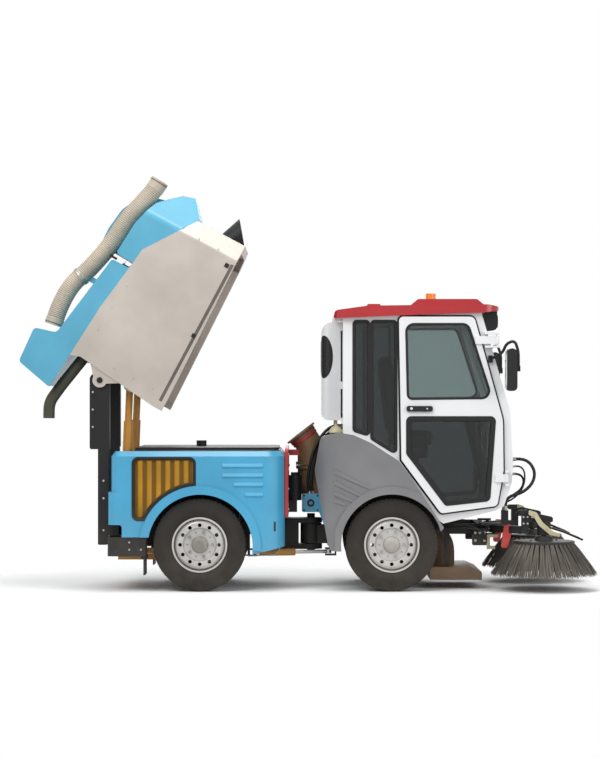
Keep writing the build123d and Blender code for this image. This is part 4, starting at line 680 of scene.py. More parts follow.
# %% Nuts, cap and valve
def hexagon(centre, axis, radius, height):
    """Nut: six corners around the axis, with a smaller chamfered top ring and a domed end."""
    return turned([(0.0, 0.0), (radius, 0.0), (radius, height * 0.75), (radius * 0.86, height), (0.0, height * 1.05)],
                  centre, axis, segments=6, closed=False)


NUT_RING_R, DISC_OUT = 0.086, 0.040
CAP = [(0.0, 0.0), (0.056, 0.0), (0.056, 0.020), (0.052, 0.027), (0.040, 0.031), (0.022, 0.033), (0.020, 0.031),
    (0.0, 0.031)]
VALVE = [(0.0, 0.0), (0.006, 0.0), (0.006, 0.010), (0.0035, 0.014), (0.0035, 0.030), (0.0, 0.031)]
for end in ("rear", "front"):
    for side, sign in SIDES:
        low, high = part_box(f"rim_{end}_{side}")
        middle = np.array((low + high) / 2)
        face_y = middle[1] + sign * DISC_OUT
        shapes = []
        for k in range(10):
            a = math.tau * k / 10
            spot = (middle[0] + NUT_RING_R * math.cos(a), face_y, middle[2] + NUT_RING_R * math.sin(a))
            shapes.append(hexagon(spot, (0, sign, 0), *((0.011, 0.016) if k % 2 == 0 else (0.0075, 0.005))))
        shapes.append(turned(CAP, (middle[0], face_y, middle[2]), (0, sign, 0), 48, closed=False))
        valve_at = (middle[0] + 0.128, middle[1] + sign * 0.052, middle[2] - 0.112)
        shapes.append(turned(VALVE, valve_at, (0, sign, 0), 10, closed=False))
        fitting(f"wheel_nuts_{end}_{side}", shapes, nut_steel, f"{end}_wheel_{side}", bevel=0, angle=30)

# %% [markdown]
# ## Brooms
# A side broom is a disc with two rings of drilled holes, each holding a tuft of flat wire. The tufts lean
# outwards. Each wire is a strip of four sides that narrows towards its tip, and all wires of a broom are
# computed at once as one array.

# %% Bristles
TUFTS, WIRES, WIRE_STEPS, WIRE_WIDE, WIRE_THIN = 40, 22, 6, 0.0030, 0.0012
TUFT_RINGS = [(0.203, 0.326, 0.366, 0.100), (0.170, 0.322, 0.318, 0.102)]  # radius and z of the hole, of the tip


def bristle_shape(centre, seed):
    """Wire line: radius grows from hole to tip as t^0.9 and height falls as t; sections are 4-sided, narrowing."""
    rng = np.random.default_rng(seed)
    t = np.linspace(0, 1, WIRE_STEPS)
    lines = []
    for ring, (r0, z0, r1, z1) in enumerate(TUFT_RINGS):
        a = np.repeat((np.arange(TUFTS) + 0.5 * ring) * math.tau / TUFTS, WIRES)
        spread = rng.uniform(-1, 1, len(a))
        a0 = a + 0.046 * spread
        a1 = a + 0.084 * spread + rng.normal(0, 0.014, len(a)) + 0.03
        reach = r1 + rng.uniform(-0.024, 0.004, len(a))
        end_z = z1 + rng.uniform(0, 0.020, len(a))
        start_r = r0 + rng.uniform(-0.008, 0.008, len(a))
        angle = a0[:, None] + (a1 - a0)[:, None] * t
        radius = start_r[:, None] + (reach - start_r)[:, None] * t**0.9
        height = z0 + (end_z - z0)[:, None] * t
        lines.append(np.stack([radius * np.cos(angle), radius * np.sin(angle), height], 2))
    lines = np.concatenate(lines)
    count = len(lines)
    tangent = np.gradient(lines, axis=1)
    tangent /= np.linalg.norm(tangent, axis=2)[:, :, None]
    outward = lines * [1, 1, 0]
    outward /= np.linalg.norm(outward, axis=2)[:, :, None]
    side = np.cross(tangent, outward)
    side /= np.linalg.norm(side, axis=2)[:, :, None]
    up = np.cross(side, tangent)
    wide = (WIRE_WIDE * (1 - 0.45 * t))[None, :, None]
    thin = (WIRE_THIN * (1 - 0.3 * t))[None, :, None]
    corners = np.stack([lines + side * wide, lines + up * thin, lines - side * wide, lines - up * thin], 2)
    points = corners.reshape(-1, 3) + centre
    last = 4 * WIRE_STEPS
    one = np.array(grid_faces(WIRE_STEPS, 4, wrap_columns=True) + [[3, 2, 1, 0], list(range(last - 4, last))])
    faces = (one[None] + (np.arange(count) * last)[:, None, None]).reshape(-1, 4)
    return points, faces.tolist()


BROOM_PROFILE = [
    (0.0195, 0.336), (0.0195, 0.373), (0.056, 0.373), (0.061, 0.368), (0.066, 0.345), (0.075, 0.3415), (0.150, 0.3395),
    (0.208, 0.3405), (0.213, 0.337), (0.213, 0.320), (0.207, 0.316), (0.150, 0.318), (0.0195, 0.320),
]
for side, seed in (("right", 7), ("left", 8)):
    low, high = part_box(f"broom_{side}")
    centre = np.array([(low.x + high.x) / 2, (low.y + high.y) / 2, 0.0])
    spots = [(centre[0] + 0.10 * math.cos(a), centre[1] + 0.10 * math.sin(a), 0.340)
             for a in np.arange(4) * math.pi / 2 + 0.4]
    hub_nuts = [hexagon(spot, (0, 0, 1), 0.009, 0.008) for spot in spots]
    fitting(f"broom_disc_{side}", [turned(BROOM_PROFILE, centre, (0, 0, 1), 96), *hub_nuts], black_plastic,
            f"{side}_broom", bevel=0, angle=30, stands_for=[f"broom_{side}"])
    points, faces = bristle_shape(centre, seed)
    fitting(f"broom_wires_{side}", [(points, faces)], bristle, f"{side}_broom", bevel=0, smooth=False)
print("wire faces", len(faces))

# %% [markdown]
# ## Ribbed hose on the hopper
# The wide beige hose that is carried on the hopper's cover is a ribbed tube. Its line is a chain of parabolas,
# each drawn towards one route point, which is how a stiff hose bends. The ribs are a wave in the radius.

# %% Route on the tipped hopper
PIN = (-690.0, 1452.0)
TIP = math.radians(62.0)


def on_hopper(rows):
    """(u, y, w) of the lowered hopper to the tipped place: x = pin + u cos - w sin, z = pin + u sin + w cos."""
    u, y, w = np.asarray(rows, float).T
    x = PIN[0] + u * math.cos(TIP) - w * math.sin(TIP)
    return place(np.stack([x, y, PIN[1] + u * math.sin(TIP) + w * math.cos(TIP)], 1))


def parabolas(points, steps=24):
    """Quadratic B-spline: 0.5 (1-t)^2 a + (0.5 + t - t^2) b + 0.5 t^2 c for each three points, ends kept."""
    p = np.asarray(points, float)
    p = np.concatenate([p[:1], p, p[-1:]])
    t = np.linspace(0, 1, steps, endpoint=False)[:, None]
    curve = [0.5 * (1 - t) ** 2 * a + (0.5 + t - t * t) * b + 0.5 * t * t * c for a, b, c in zip(p, p[1:], p[2:])]
    return np.concatenate([*curve, [0.5 * (p[-2] + p[-1])]])


def even_steps(path, step):
    """The same line with points a fixed distance apart: length along it is interpolated back to points."""
    run = np.concatenate([[0], np.cumsum(np.linalg.norm(np.diff(path, axis=0), axis=1))])
    at = np.linspace(0, run[-1], max(int(run[-1] / step), 2) + 1)
    return np.stack([np.interp(at, run, path[:, k]) for k in range(3)], 1), at


HOSE_Y, RIB_PITCH, HOSE_STEP = -330, 0.0128, 0.0032
HOSE_R, RIB_HALF, CUFF_R, BORE_R, CUFF_START, CUFF_END = 0.0620, 0.0026, 0.0635, 0.054, 0.055, 0.07
hose_rows = [(178, 480), (330, 505), (500, 500), (640, 440), (880, 385), (1071, 372), (1241, 325), (1345, 300),
             (1420, 295)]
line, run = even_steps(parabolas(on_hopper([(u, HOSE_Y, w) for u, w in hose_rows])), HOSE_STEP)
inside = (run > 0.0) & (run < run[-1])
line, run = line[inside], run[inside]
ribs = HOSE_R + RIB_HALF * np.sin(run * math.tau / RIB_PITCH)
outer = np.where((run < CUFF_START) | (run > run[-1] - CUFF_END), CUFF_R, ribs)
fitting("ribbed_hose", [pipe(line, outer, BORE_R, 40)], beige_hose, "hopper", bevel=0, angle=60,
        stands_for=["wander_hose"])
print("ribbed hose", round(run[-1], 2), "m")

# %% [markdown]
# A band clamp holds the ribbed hose to a foot on the rear cover, and a second foot carries it further up. The
# clamp is a ring that follows the hose's own direction at that point, with a screw housing on its side.

# %% Hose clamp and feet
clamp_at = on_hopper([(575, HOSE_Y, 472)])[0]
nearest = int(np.argmin(np.linalg.norm(line - clamp_at, axis=1)))
clamp_axis = line[min(nearest + 3, len(line) - 1)] - line[nearest - 3]
clamp_rows = [(0.062, -0.013), (0.0672, -0.013), (0.0688, -0.009), (0.0672, -0.005)]
clamp_rows += [(radius, -along) for radius, along in clamp_rows[::-1]]
screw_at = line[nearest] + np.array([0, -0.071, 0.0])
screw = turned([(0.0, -0.016), (0.006, -0.016), (0.006, 0.016), (0.0, 0.016)], screw_at, (0, 0, 1), 12, closed=False)
fitting("hose_clamp", [turned(clamp_rows, line[nearest], clamp_axis, 64), screw], zinc_bolt, "hopper",
        bevel=0, angle=30)
feet = []
for u0, w0, w1 in ((565, 349.5, 418), (1000, 297.6, 318)):
    base = ((u0, HOSE_Y - 15), (u0 + 40, HOSE_Y - 15), (u0 + 40, HOSE_Y + 15), (u0, HOSE_Y + 15))
    feet.append((on_hopper([(u, y, w) for w in (w0, w1) for u, y in base]), box_shape((0, 0, 0), (1, 1, 1))[1]))
fitting("hose_feet", feet, blue_cover, "hopper", bevel=0, smooth=False)

# %% [markdown]
# ## Seals around the glass
# Rubber seals make the windows read as glass in a frame: the dark line around the door, the wide black edge
# of the lower pane, and the gaskets of the fixed windows. Each is a band, a small section carried around a
# window's rounded outline; its offsets go inwards over the pane and outwards of the sheet.

# %% Window outlines, in millimetres from the rear axle
def inset(corners, depth):
    """The outline moved inwards: each edge shifts by depth along its normal, and new corners are their crossings."""
    p = np.array([c[:2] for c in corners], float)
    ahead, normal, _ = edges_of(p)
    base, back, back_normal = p + normal * depth, np.roll(ahead, 1, 0), np.roll(normal, 1, 0)
    start = p + back_normal * depth
    cross = back[:, 0] * ahead[:, 1] - back[:, 1] * ahead[:, 0]
    t = ((base - start)[:, 0] * ahead[:, 1] - (base - start)[:, 1] * ahead[:, 0]) / cross
    moved = start + back * t[:, None]
    return [(x, z, max(corner[2] - depth, 2.0)) for (x, z), corner in zip(moved, corners)]


DOOR = [(1368, 1887, 30), (1385, 904, 20), (1656, 538, 30), (2041, 590, 30), (2084, 826, 120), (2080, 1181, 300),
    (1883, 1887, 40)]
UPPER_PANE = [(1413, 1840, 55), (1425, 1319, 35), (2010, 1325, 55), (1844, 1840, 55)]
LOWER_PANE = inset([(1398, 1223, 55), (1398, 940, 45), (1678, 569, 45), (2010, 605, 55), (2054, 1223, 55)], 24)
QUARTERS = [
    [(1058, 1105, 20), (1163, 1072, 20), (1163, 1858, 20), (1058, 1858, 20)],
    [(1180, 1050, 20), (1350, 945, 20), (1350, 1858, 20), (1180, 1858, 20)],
]


def in_frame(corners):
    """Outline corners in millimetres to metres of the frame, still as (x, z, radius)."""
    return [(x / 1000 + REAR_AXLE_X, z / 1000, r / 1000) for x, z, r in corners]


def seal(name, corners, y, offsets, body):
    """Band around an outline on both sides of the vehicle; offsets are (inwards, outwards) in metres."""
    shape = band(outline(in_frame(corners)), on_side(y), offsets)
    pair(name, [shape], seal_rubber_and_shade, body, bevel=0, angle=35)


DOOR_OUT, CAB_OUT, BODY_OUT = 0.580, 0.540, 0.588
seal("upper_pane_seal", UPPER_PANE, DOOR_OUT,
     [(-0.004, 0.0005), (-0.003, 0.003), (0.010, 0.003), (0.013, -0.004), (0.013, -0.012), (-0.001, -0.012),
      (-0.001, 0.0005)], "{side}_door")
seal("lower_pane_seal", LOWER_PANE, DOOR_OUT,
     [(-0.006, 0.0005), (-0.005, 0.004), (0.026, 0.004), (0.031, -0.003), (0.031, -0.0115), (-0.001, -0.0115),
      (-0.001, 0.0005)], "{side}_door")
seal("door_gap_seal", DOOR, CAB_OUT,
     [(-0.013, 0.0), (-0.012, 0.004), (-0.003, 0.0048), (0.018, 0.0048), (0.018, 0.0)], "front_chassis")
for k, corners in enumerate(QUARTERS):
    seal(f"quarter_seal_{k}", corners, CAB_OUT,
         [(-0.009, 0.0003), (-0.008, 0.004), (0.010, 0.003), (0.014, -0.009), (0.0005, -0.0098), (0.0005, 0.0003)],
         "front_chassis")
print("seals made")

# %% [markdown]
# The grille windows in the blue body have a dark gasket, whose black also stands for painted shade at the window's
# edge. Its outline is a rounded rectangle whose lower right part follows the wheel arch: x = 5 + 432 cos a, z = 308 +
# 432 sin a.

# %% Grille window gasket and edge shade
ARCH_R, ARCH_X, ARCH_Z = 432, 5, 308
start_turn = math.acos(-math.sqrt(ARCH_R**2 - 187**2) / ARCH_R)
end_turn = math.acos(-39 / ARCH_R)
arch_points = [(ARCH_X + ARCH_R * math.cos(a), ARCH_Z + ARCH_R * math.sin(a), 0)
               for a in np.linspace(start_turn, end_turn, 24)]
window = [(-455, 495, 35), *arch_points, (-34, 916, 35), (-455, 916, 35)]
# Black gasket band, partly painted shade at the window's edge.
seal("grille_gasket_and_shade", window, BODY_OUT,
     [(-0.010, 0.0003), (-0.009, 0.0035), (0.004, 0.004), (0.010, -0.002), (0.010, -0.014), (0.0005, -0.014),
      (0.0005, 0.0003)], "rear_chassis")

# %% [markdown]
# ## Door handle, hinge bolts and mirrors
# The handle is a black bar with a lock barrel at its rear end, just under the upper pane.

# %% Handle and lock
def dome(rows, tip, flip):
    """Faces for stacked rings that close in one middle point: quads between the rings, then a fan to the point."""
    faces = grid_faces(len(rows), len(rows[0]), wrap_columns=True)
    count, top = len(rows[0]), (len(rows) - 1) * len(rows[0])
    faces += [[top + k, top + (k + 1) % count, top + count] for k in range(count)]
    return np.concatenate([*rows, [tip]]), [list(reversed(f)) for f in faces] if flip else faces


for side, sign in SIDES:
    bar = outline(in_frame([(1419, 1236, 14), (1599, 1236, 14), (1599, 1275, 14), (1419, 1275, 14)]))
    middle = bar.mean(0)
    rows = [on_side(DOOR_OUT, sign)(middle + (bar - middle) * scale, out)
            for scale, out in ((1.0, 0.0003), (1.0, 0.016), (0.985, 0.0185), (0.90, 0.0188))]
    shape = dome(rows, on_side(DOOR_OUT, sign)(middle[None], 0.0178)[0], sign < 0)
    fitting(f"door_handle_{side}", [shape], black_plastic, f"{side}_door", bevel=0, angle=35)
    lock_at, grip_at = place([(x, sign * (580 + 17), 1256) for x in (1452, 1560)])
    lock_rows = [(0.0, 0.0), (0.009, 0.0), (0.009, 0.005), (0.007, 0.006), (0.0, 0.006)]
    lock = turned(lock_rows, lock_at, (0, sign, 0), 20, closed=False)
    grip = turned([(0.0, 0.0), (0.006, 0.0), (0.006, 0.004), (0.0, 0.004)], grip_at, (0, sign, 0), 12, closed=False)
    fitting(f"door_lock_{side}", [lock, grip], bright_steel, f"{side}_door", bevel=0, angle=35)

# %% [markdown]
# Each mirror solid is a flat dark housing. Its glass faces backwards: a slightly domed sheet whose bulge is
# highest in the middle.

# %% Mirror glass
for side, sign in SIDES:
    loop = outline([(-0.066, -0.130, 0.025), (0.066, -0.130, 0.025), (0.066, 0.130, 0.03), (-0.066, 0.130, 0.03)])
    rings = [loop * s for s in (1.0, 0.97, 0.75, 0.5, 0.25)]
    middle = place([[2092, sign * 690, 1521]])[0]
    rows = [np.stack([np.full(len(r), middle[0] - bulge), middle[1] + r[:, 0] * sign, middle[2] + r[:, 1]], 1)
            for r, bulge in zip(rings, (0.0, 0.003, 0.0042, 0.005, 0.0055))]
    points, faces = dome(rows, [middle[0] - 0.0057, middle[1], middle[2]], sign < 0)
    glass = make_piece(f"mirror_glass_{side}", points, faces, "front_chassis", angle=40, closed=False)
    glass.data.materials.append(mirror_glass)

# %% [markdown]
# ## Hoses in front of the cab
# Two free hoses leave the cab's nose, loop forward and come back down to a port block on the frame. Each is
# one smooth NURBS curve through the same points as its solid, with a round section.

# %% Free hoses
def free_hose(name, route, radius, stands_for=None):
    """NURBS curve of order 3 with the route as control points, drawn as a round hose of that radius.
    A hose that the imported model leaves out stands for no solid."""
    curve = bpy.data.curves.new(name, "CURVE")
    curve.dimensions = "3D"
    spline = curve.splines.new("NURBS")
    spline.points.add(len(route) - 1)
    flat = np.concatenate([place(route), np.ones((len(route), 1))], 1)
    spline.points.foreach_set("co", flat.ravel())
    spline.order_u = 3
    spline.use_endpoint_u = True
    spline.resolution_u = 16
    curve.bevel_depth = radius / 1000
    curve.bevel_resolution = 5
    curve.use_fill_caps = True
    curve.materials.append(hose_rubber)
    piece = bpy.data.objects.new(name, curve)
    bpy.context.scene.collection.objects.link(piece)
    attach(piece, "front_chassis")
    if stands_for:
        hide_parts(stands_for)
    bare = curve.copy()
    bare.bevel_depth = 0
    probe = bpy.data.objects.new(name + "_line", bare)
    line = np.array([v.co for v in bpy.data.meshes.new_from_object(probe).vertices])
    bpy.data.objects.remove(probe)
    return line


BIG_R, SMALL_R, THIN_R = 11.0, 8.0, 6.0
big_route = [(2155, -410, 904), (2214, -412, 912), (2280, -420, 886), (2318, -420, 815), (2300, -415, 735),
             (2230, -410, 672), (2150, -402, 652), (2112, -400, 615), (2112, -400, 550)]
small_route = [(2155, -330, 800), (2212, -335, 806), (2250, -345, 762), (2230, -358, 695), (2165, -374, 655),
               (2112, -380, 612), (2112, -380, 550)]
hose_lines = [(free_hose("front_loop_big", big_route, BIG_R, "front_hose_big"), BIG_R),
              (free_hose("front_loop_small", small_route, SMALL_R, "front_hose_small"), SMALL_R)]

# %% [markdown]
# A third, thinner loop lies between them. Two more hoses come out of the cab's back wall, pass the swivel of
# the suction duct and end behind the blue plate at the pivot. They stay within 150 mm of the pivot's axis
# where the rear module turns past them.

# %% More free hoses
thin_route = [(2155, -370, 850), (2200, -372, 862), (2244, -374, 835), (2252, -376, 770), (2236, -380, 705),
              (2196, -382, 652), (2150, -374, 618), (2098, -368, 596), (2098, -366, 550)]
rear_route = [(984, -120, 1130), (930, -120, 1138), (862, -128, 1095), (800, -138, 1000), (762, -134, 880),
              (742, -124, 760), (746, -116, 690), (764, -114, 640)]
rear_thin_route = [(984, -95, 1110), (930, -96, 1112), (866, -104, 1066), (806, -124, 985), (790, -128, 880),
                   (768, -122, 760), (772, -114, 690), (788, -114, 640)]
for name, route, radius in (("front_loop_thin", thin_route, THIN_R), ("pivot_hose_big", rear_route, BIG_R),
                            ("pivot_hose_small", rear_thin_route, SMALL_R)):
    hose_lines.append((free_hose(name, route, radius), radius))

# %% [markdown]
# Each end of a hose is crimped into a round steel fitting, or the hose would seem glued on.

# %% Hose fittings
fittings = []
for points, radius in hose_lines:
    radius /= 1000
    rows = [(0.0, 0.0), (radius * 1.5, 0.0), (radius * 1.5, 0.010), (radius * 1.25, 0.011), (radius * 1.25, 0.030),
            (radius * 1.02, 0.032), (0.0, 0.032)]
    for start, inward in ((points[0], points[3] - points[0]), (points[-1], points[-4] - points[-1])):
        fittings.append(turned(rows, start, inward, 24, closed=False))
fitting("hose_fittings", fittings, zinc_bolt, "front_chassis", bevel=0, angle=30)

# %% [markdown]
# ## Small fittings
# Plates, boxes and bolts give the bare solids their scale. A slab is an outline of (x, z, radius) in
# millimetres, pushed from one y to another.

# %% Slabs and bolts
def slab(rows, y0, y1, where=place):
    """Prism: the rounded outline at y0 and again at y1, joined by quads; where() turns millimetres to metres."""
    loop = outline(rows)
    ends = [np.stack([loop[:, 0], np.full(len(loop), y), loop[:, 1]], 1) for y in (y0, y1)]
    return where(np.concatenate(ends)), prism_faces(len(loop))


def plate(x0, x1, z0, z1, radius, y0, y1, where=place):
    """Slab whose outline is a rectangle with one corner radius."""
    return slab([(x0, z0, radius), (x1, z0, radius), (x1, z1, radius), (x0, z1, radius)], y0, y1, where)


def brick(low, high):
    """Box between two corners in millimetres."""
    points, faces = box_shape(low, high)
    return place(points), faces


def bolts(spots, axis=(0, -1, 0), radius=0.008, height=0.006, where=place):
    """Hexagon heads at the given millimetre points, all facing along one axis."""
    return [hexagon(spot, axis, radius, height) for spot in where(spots)]


red_handle = finish("red_handle", (0.62, 0.012, 0.014), 0.38, coat=0.2, vary=0.04, scuffs=0.1, tops=0.04)
cream_paint = finish("cream_paint", (0.56, 0.50, 0.32), 0.42, vary=0.1, scuffs=0.3, scuff_colour=(0.30, 0.24, 0.14),
    height=0.7, low=0.12, tops=0.1)
# Dark worn steel for strips and wire rings; on the hopper's side the same finish is painted shade of the rail's
# recess.
worn_strip_and_shade = finish("worn_strip_and_shade", (0.12, 0.105, 0.088), 0.55, metal=0.3, vary=0.15, scuffs=0.5,
    scuff_colour=(0.24, 0.2, 0.16), tops=0.1)

# %% [markdown]
# Inside each front wheel arch a thin dark sheet keeps the road's dirt off the frame. It is a part of a ring
# around the wheel's axis, from 12 to 120 degrees.

# %% Wheel arch liners
FRONT_AXLE_X, AXLE_Z, LINER_OUT, LINER_IN = 1319, 321, 374, 296
arc = np.radians(np.arange(12, 123, 3))
arch = [(FRONT_AXLE_X + r * math.cos(a), AXLE_Z + r * math.sin(a), 0)
        for r, turns in ((LINER_OUT, arc), (LINER_IN, arc[::-1])) for a in turns]
pair("arch_liner", [slab(arch, -366, -362)], black_plastic, "front_chassis", 0)

# %% [markdown]
# The broom arms carry a red release lever, a solenoid box, a cream guard over the motor and a thin strip on
# the guard bars. Both arms are alike, so the left one is the right one mirrored.

# %% Broom arm fittings
ARM = "{side}_broom_arm"
lever = slab([(2087, 286, 14), (2134, 284, 14), (2164, 398, 12), (2163, 446, 12), (2106, 450, 12), (2096, 372, 10)],
             -357, -326)
pair("release_lever", [lever], red_handle, ARM, 0.004)
box = slab([(2203, 519, 3), (2268, 519, 3), (2268, 553, 5), (2203, 553, 5)], -419, -373)
plug = turned([(0, 0), (0.011, 0), (0.011, 0.012), (0.008, 0.014), (0, 0.014)], place([[2203, -396, 537]])[0],
              (-1, 0, 0), 20, closed=False)
screws = bolts([(2215, -419, 544), (2256, -419, 544)], radius=0.004, height=0.003)
pair("solenoid", [box, plug, *screws], black_plastic, ARM)
guard = slab([(2268, 556, 6), (2322, 540, 20), (2362, 474, 30), (2436, 408, 30), (2490, 390, 8), (2480, 368, 8),
              (2416, 382, 30), (2340, 446, 30), (2302, 510, 20), (2268, 522, 6)], -462, -454)
screws = bolts([(2303, -462, 527), (2390, -462, 428)], radius=0.007, height=0.004)
pair("motor_guard", [guard, brick((2288, -454, 500), (2318, -424, 530)), *screws], cream_paint, ARM)
strip = slab([(2440, 434, 0), (2521, 409, 0), (2628, 364, 3), (2627, 360, 3), (2519, 404, 0), (2439, 430, 0)],
             -413, -387)
pair("guard_strip", [strip], worn_strip_and_shade, ARM, 0.0006)
heads = bolts([(2236, -425, 505), (2264, -425, 505), (2236, -425, 460), (2264, -425, 460)])
pair("arm_bolts", heads, zinc_bolt, ARM, 0)

# %% [markdown]
# Under the cab's nose hang a valve block with ports and a cream angle bracket. Both belong to the front frame.

# %% Valve block and bracket
PORT = [(0, 0), (0.007, 0), (0.007, 0.024), (0.005, 0.026), (0, 0.026)]
lines = (
    [(1937, -390, 395), (1930, -404, 420), (1890, -410, 438), (1820, -400, 446), (1740, -370, 448),
     (1690, -330, 440)],
    [(1969, -390, 340), (1980, -402, 360), (1960, -414, 400), (1900, -424, 425), (1830, -416, 430), (1760, -380, 432),
     (1700, -335, 428)],
)
valves = [plate(1888, 1985, 306, 425, 6, -374, -301), *(swept(place(route), 0.007, 12) for route in lines)]
spots = place([(x, -374, z) for x, z in ((1905, 395), (1937, 395), (1969, 395), (1905, 340), (1969, 340))])
ports = [shape for spot in spots for shape in (hexagon(spot, (0, -1, 0), 0.012, 0.010),
                                               turned(PORT, spot, (0, -1, 0), 16, closed=False))]
fitting("valve_blocks", [*valves, *map(mirrored, valves)], black_plastic, "front_chassis", 0)
fitting("valve_ports", [*ports, *map(mirrored, ports)], zinc_bolt, "front_chassis", 0)
angle_rows = [(1962, 379, 0), (2072, 379, 4), (2072, 357, 4), (2014, 357, 8), (2014, 298, 8), (2050, 298, 4),
              (2050, 275, 4), (1991, 275, 4), (1991, 352, 8), (1962, 352, 4)]
angle_shapes = [slab(angle_rows, -301, -292), plate(1991, 2000, 275, 378, 3, -330, -301)]
pair("angle_bracket", angle_shapes, cream_paint, "front_chassis")

# %% [markdown]
# Beside the steering pivot stands a blue plate with a ringed hole, bolted to the front frame's tie. It clears
# the rear module's drum at full lock, because it stays within 155 mm of the pivot's axis.

# %% Pivot plate
plate_rows = [(701, 524, 14), (822, 524, 10), (872, 400, 6), (905, 400, 4), (905, 610, 10), (828, 655, 12),
              (701, 655, 14)]
plate_shapes = [slab(plate_rows, -134, -127), brick((884, -134, 400), (905, -100, 434))]
pair("pivot_plate", plate_shapes, blue_paint, "front_chassis")
ring_rows = [(0.014, 0), (0.024, 0), (0.026, 0.004), (0.024, 0.008), (0.014, 0.008)]
ring = turned(ring_rows, place([[764, -134, 589]])[0], (0, -1, 0), 40)
screws = bolts([(716, -134, 538), (716, -134, 641), (812, -134, 641), (812, -134, 538)], radius=0.007, height=0.005)
pair("plate_ring", [ring, *screws], seal_rubber_and_shade, "front_chassis", 0)

# %% [markdown]
# ## Hopper fittings
# The side of the hopper has a dark strip along its lower edge, painted shade of the recessed rail, a latch where
# the two covers meet and a small catch near the nose. They are placed in the hopper's own u and w, and tip with it.

# %% Painted rail shade, latch and catch
# A thin dark sheet along the lower edge is painted shade in the rail's recess.
rail_shade_strip = plate(70, 1130, -446, -424, 0, -526.2, -524.8, on_hopper)
pair("hopper_rail_shade", [rail_shade_strip], worn_strip_and_shade, "hopper", 0)
latch = slab([(783, 288, 3), (800, 285, 3), (800, 338, 4), (786, 340, 4)], -531, -500, on_hopper)
hook = plate(776, 806, 322, 336, 4, -536, -528, on_hopper)
catch = plate(1092, 1122, -418, -388, 2, -533, -524, on_hopper)
catch_low = plate(560, 588, -440, -414, 2, -533, -524, on_hopper)
pair("hopper_latches", [latch, hook, catch, catch_low], black_plastic, "hopper")
pair("hopper_tab", [plate(793, 811, 224, 284, 2, -531, -500, on_hopper)], white_paint, "hopper")
spots = ((120, -350), (120, -200), (120, -50), (300, 170), (480, 160), (660, 140), (1180, -300), (1180, -150))
rivets = bolts([(u, -525, w) for u, w in spots], radius=0.006, height=0.003, where=on_hopper)
pair("hopper_rivets", rivets, zinc_bolt, "hopper", 0)

# %% [markdown]
# Each end of the wide hose is edged with a dark wire ring, held a little inside the end.

# %% Rings at the hose's ends
RING = [(0.0615, -0.003), (0.0652, -0.003), (0.0660, 0.0), (0.0652, 0.003), (0.0615, 0.003)]
ends = [turned(RING, line[k], line[k] - line[k + step], 64) for k, step in ((len(line) - 6, -4), (5, 4))]
fitting("hose_rings", ends, worn_strip_and_shade, "hopper", 0)

# %% [markdown]
# ## Climate unit
# An oval fan grille wraps each rear corner of the unit. Its distance q runs round the corner: an arc of 60 mm
# radius for 47 mm each way, and straight on beyond. A wave in z stands for the slats.

# %% Corner grille
ARC_CENTRE, ARC_R = (898.0, -190.0), 60.0
GRILLE_Z, GRILLE_HIGH, GRILLE_WIDE, SLATS = 1617, 150, 68, 11


def corner_point(q, z, out):
    """Point at distance q round the rear right corner, raised by out."""
    turn = np.clip(q / ARC_R, -math.pi / 4, math.pi / 4)
    angle = math.radians(225) + turn
    direction = np.stack([np.cos(angle), np.sin(angle)], -1)
    along = np.stack([-np.sin(angle), np.cos(angle)], -1)
    flat = np.array(ARC_CENTRE) + direction * (ARC_R + out)[..., None] + along * (q - turn * ARC_R)[..., None]
    return np.stack([flat[..., 0], flat[..., 1], z], -1)


s, t = np.meshgrid(np.linspace(-1, 1, 41), np.linspace(-0.995, 0.995, 121))
grille_q = GRILLE_WIDE * s * np.sqrt(1 - t**2)
grille_z = GRILLE_Z + GRILLE_HIGH * t
slats = 0.6 + 2.2 * np.abs(np.sin(t * math.pi * SLATS)) * (1 - s**8)
front_face = corner_point(grille_q, grille_z, slats).reshape(-1, 3)
back_face = corner_point(grille_q, grille_z, np.full_like(s, -1.5)).reshape(-1, 3)
rows_n, columns_n = s.shape
front_faces = grid_faces(rows_n, columns_n)
back_faces = [list(reversed(f)) for f in grid_faces(rows_n, columns_n, start=len(front_face))]
edge = [i * columns_n for i in range(rows_n)] + [rows_n * columns_n - columns_n + j for j in range(1, columns_n)]
edge += [i * columns_n + columns_n - 1 for i in range(rows_n - 2, -1, -1)] + list(range(columns_n - 2, 0, -1))
skirt = [[a, b, b + len(front_face), a + len(front_face)] for a, b in zip(edge, edge[1:] + edge[:1])]
grille_shape = (place(np.concatenate([front_face, back_face])), front_faces + back_faces + skirt)
PUCK = [(0, 0), (0.052, 0), (0.050, 0.012), (0.030, 0.040), (0.012, 0.050), (0.010, 0.090), (0, 0.090)]
puck = turned(PUCK, place([[940, -215, 1086]])[0], (0, 0, 1), 40, closed=False)
pair("fan_grille", [grille_shape], black_plastic, "front_chassis", 0)
pair("unit_gasket", [brick((973, -253.5, 1192), (986, -244, 1800))], seal_rubber_and_shade, "front_chassis")
pair("unit_tab", [brick((972, -259, 1392), (1004, -250, 1444))], white_paint, "front_chassis")
pair("unit_drain", [puck], cream_paint, "front_chassis", 0)

# %% [markdown]
# ## Lamps, bolts and body details
# The lamp pods under the roof's front edge get round lenses, the blue body a dark slot near its front corner,
# and the frames their bolts.

# %% Lamp lenses
for side, sign in SIDES:
    centre = place([[2046, sign * 430, 1860]])[0]
    lens_rows = [(0, 0), (0.040, 0), (0.040, 0.002), (0.030, 0.006), (0, 0.008)]
    lens = turned(lens_rows, centre, (1, 0, 0), 40, closed=False)
    fitting(f"work_lamp_{side}", [lens], lamp_lens, "front_chassis", 0)
    rim = turned([(0.038, 0), (0.046, 0), (0.046, 0.008), (0.042, 0.010), (0.038, 0.006)], centre, (1, 0, 0), 40)
    fitting(f"work_lamp_rim_{side}", [rim], black_plastic, "front_chassis", 0)

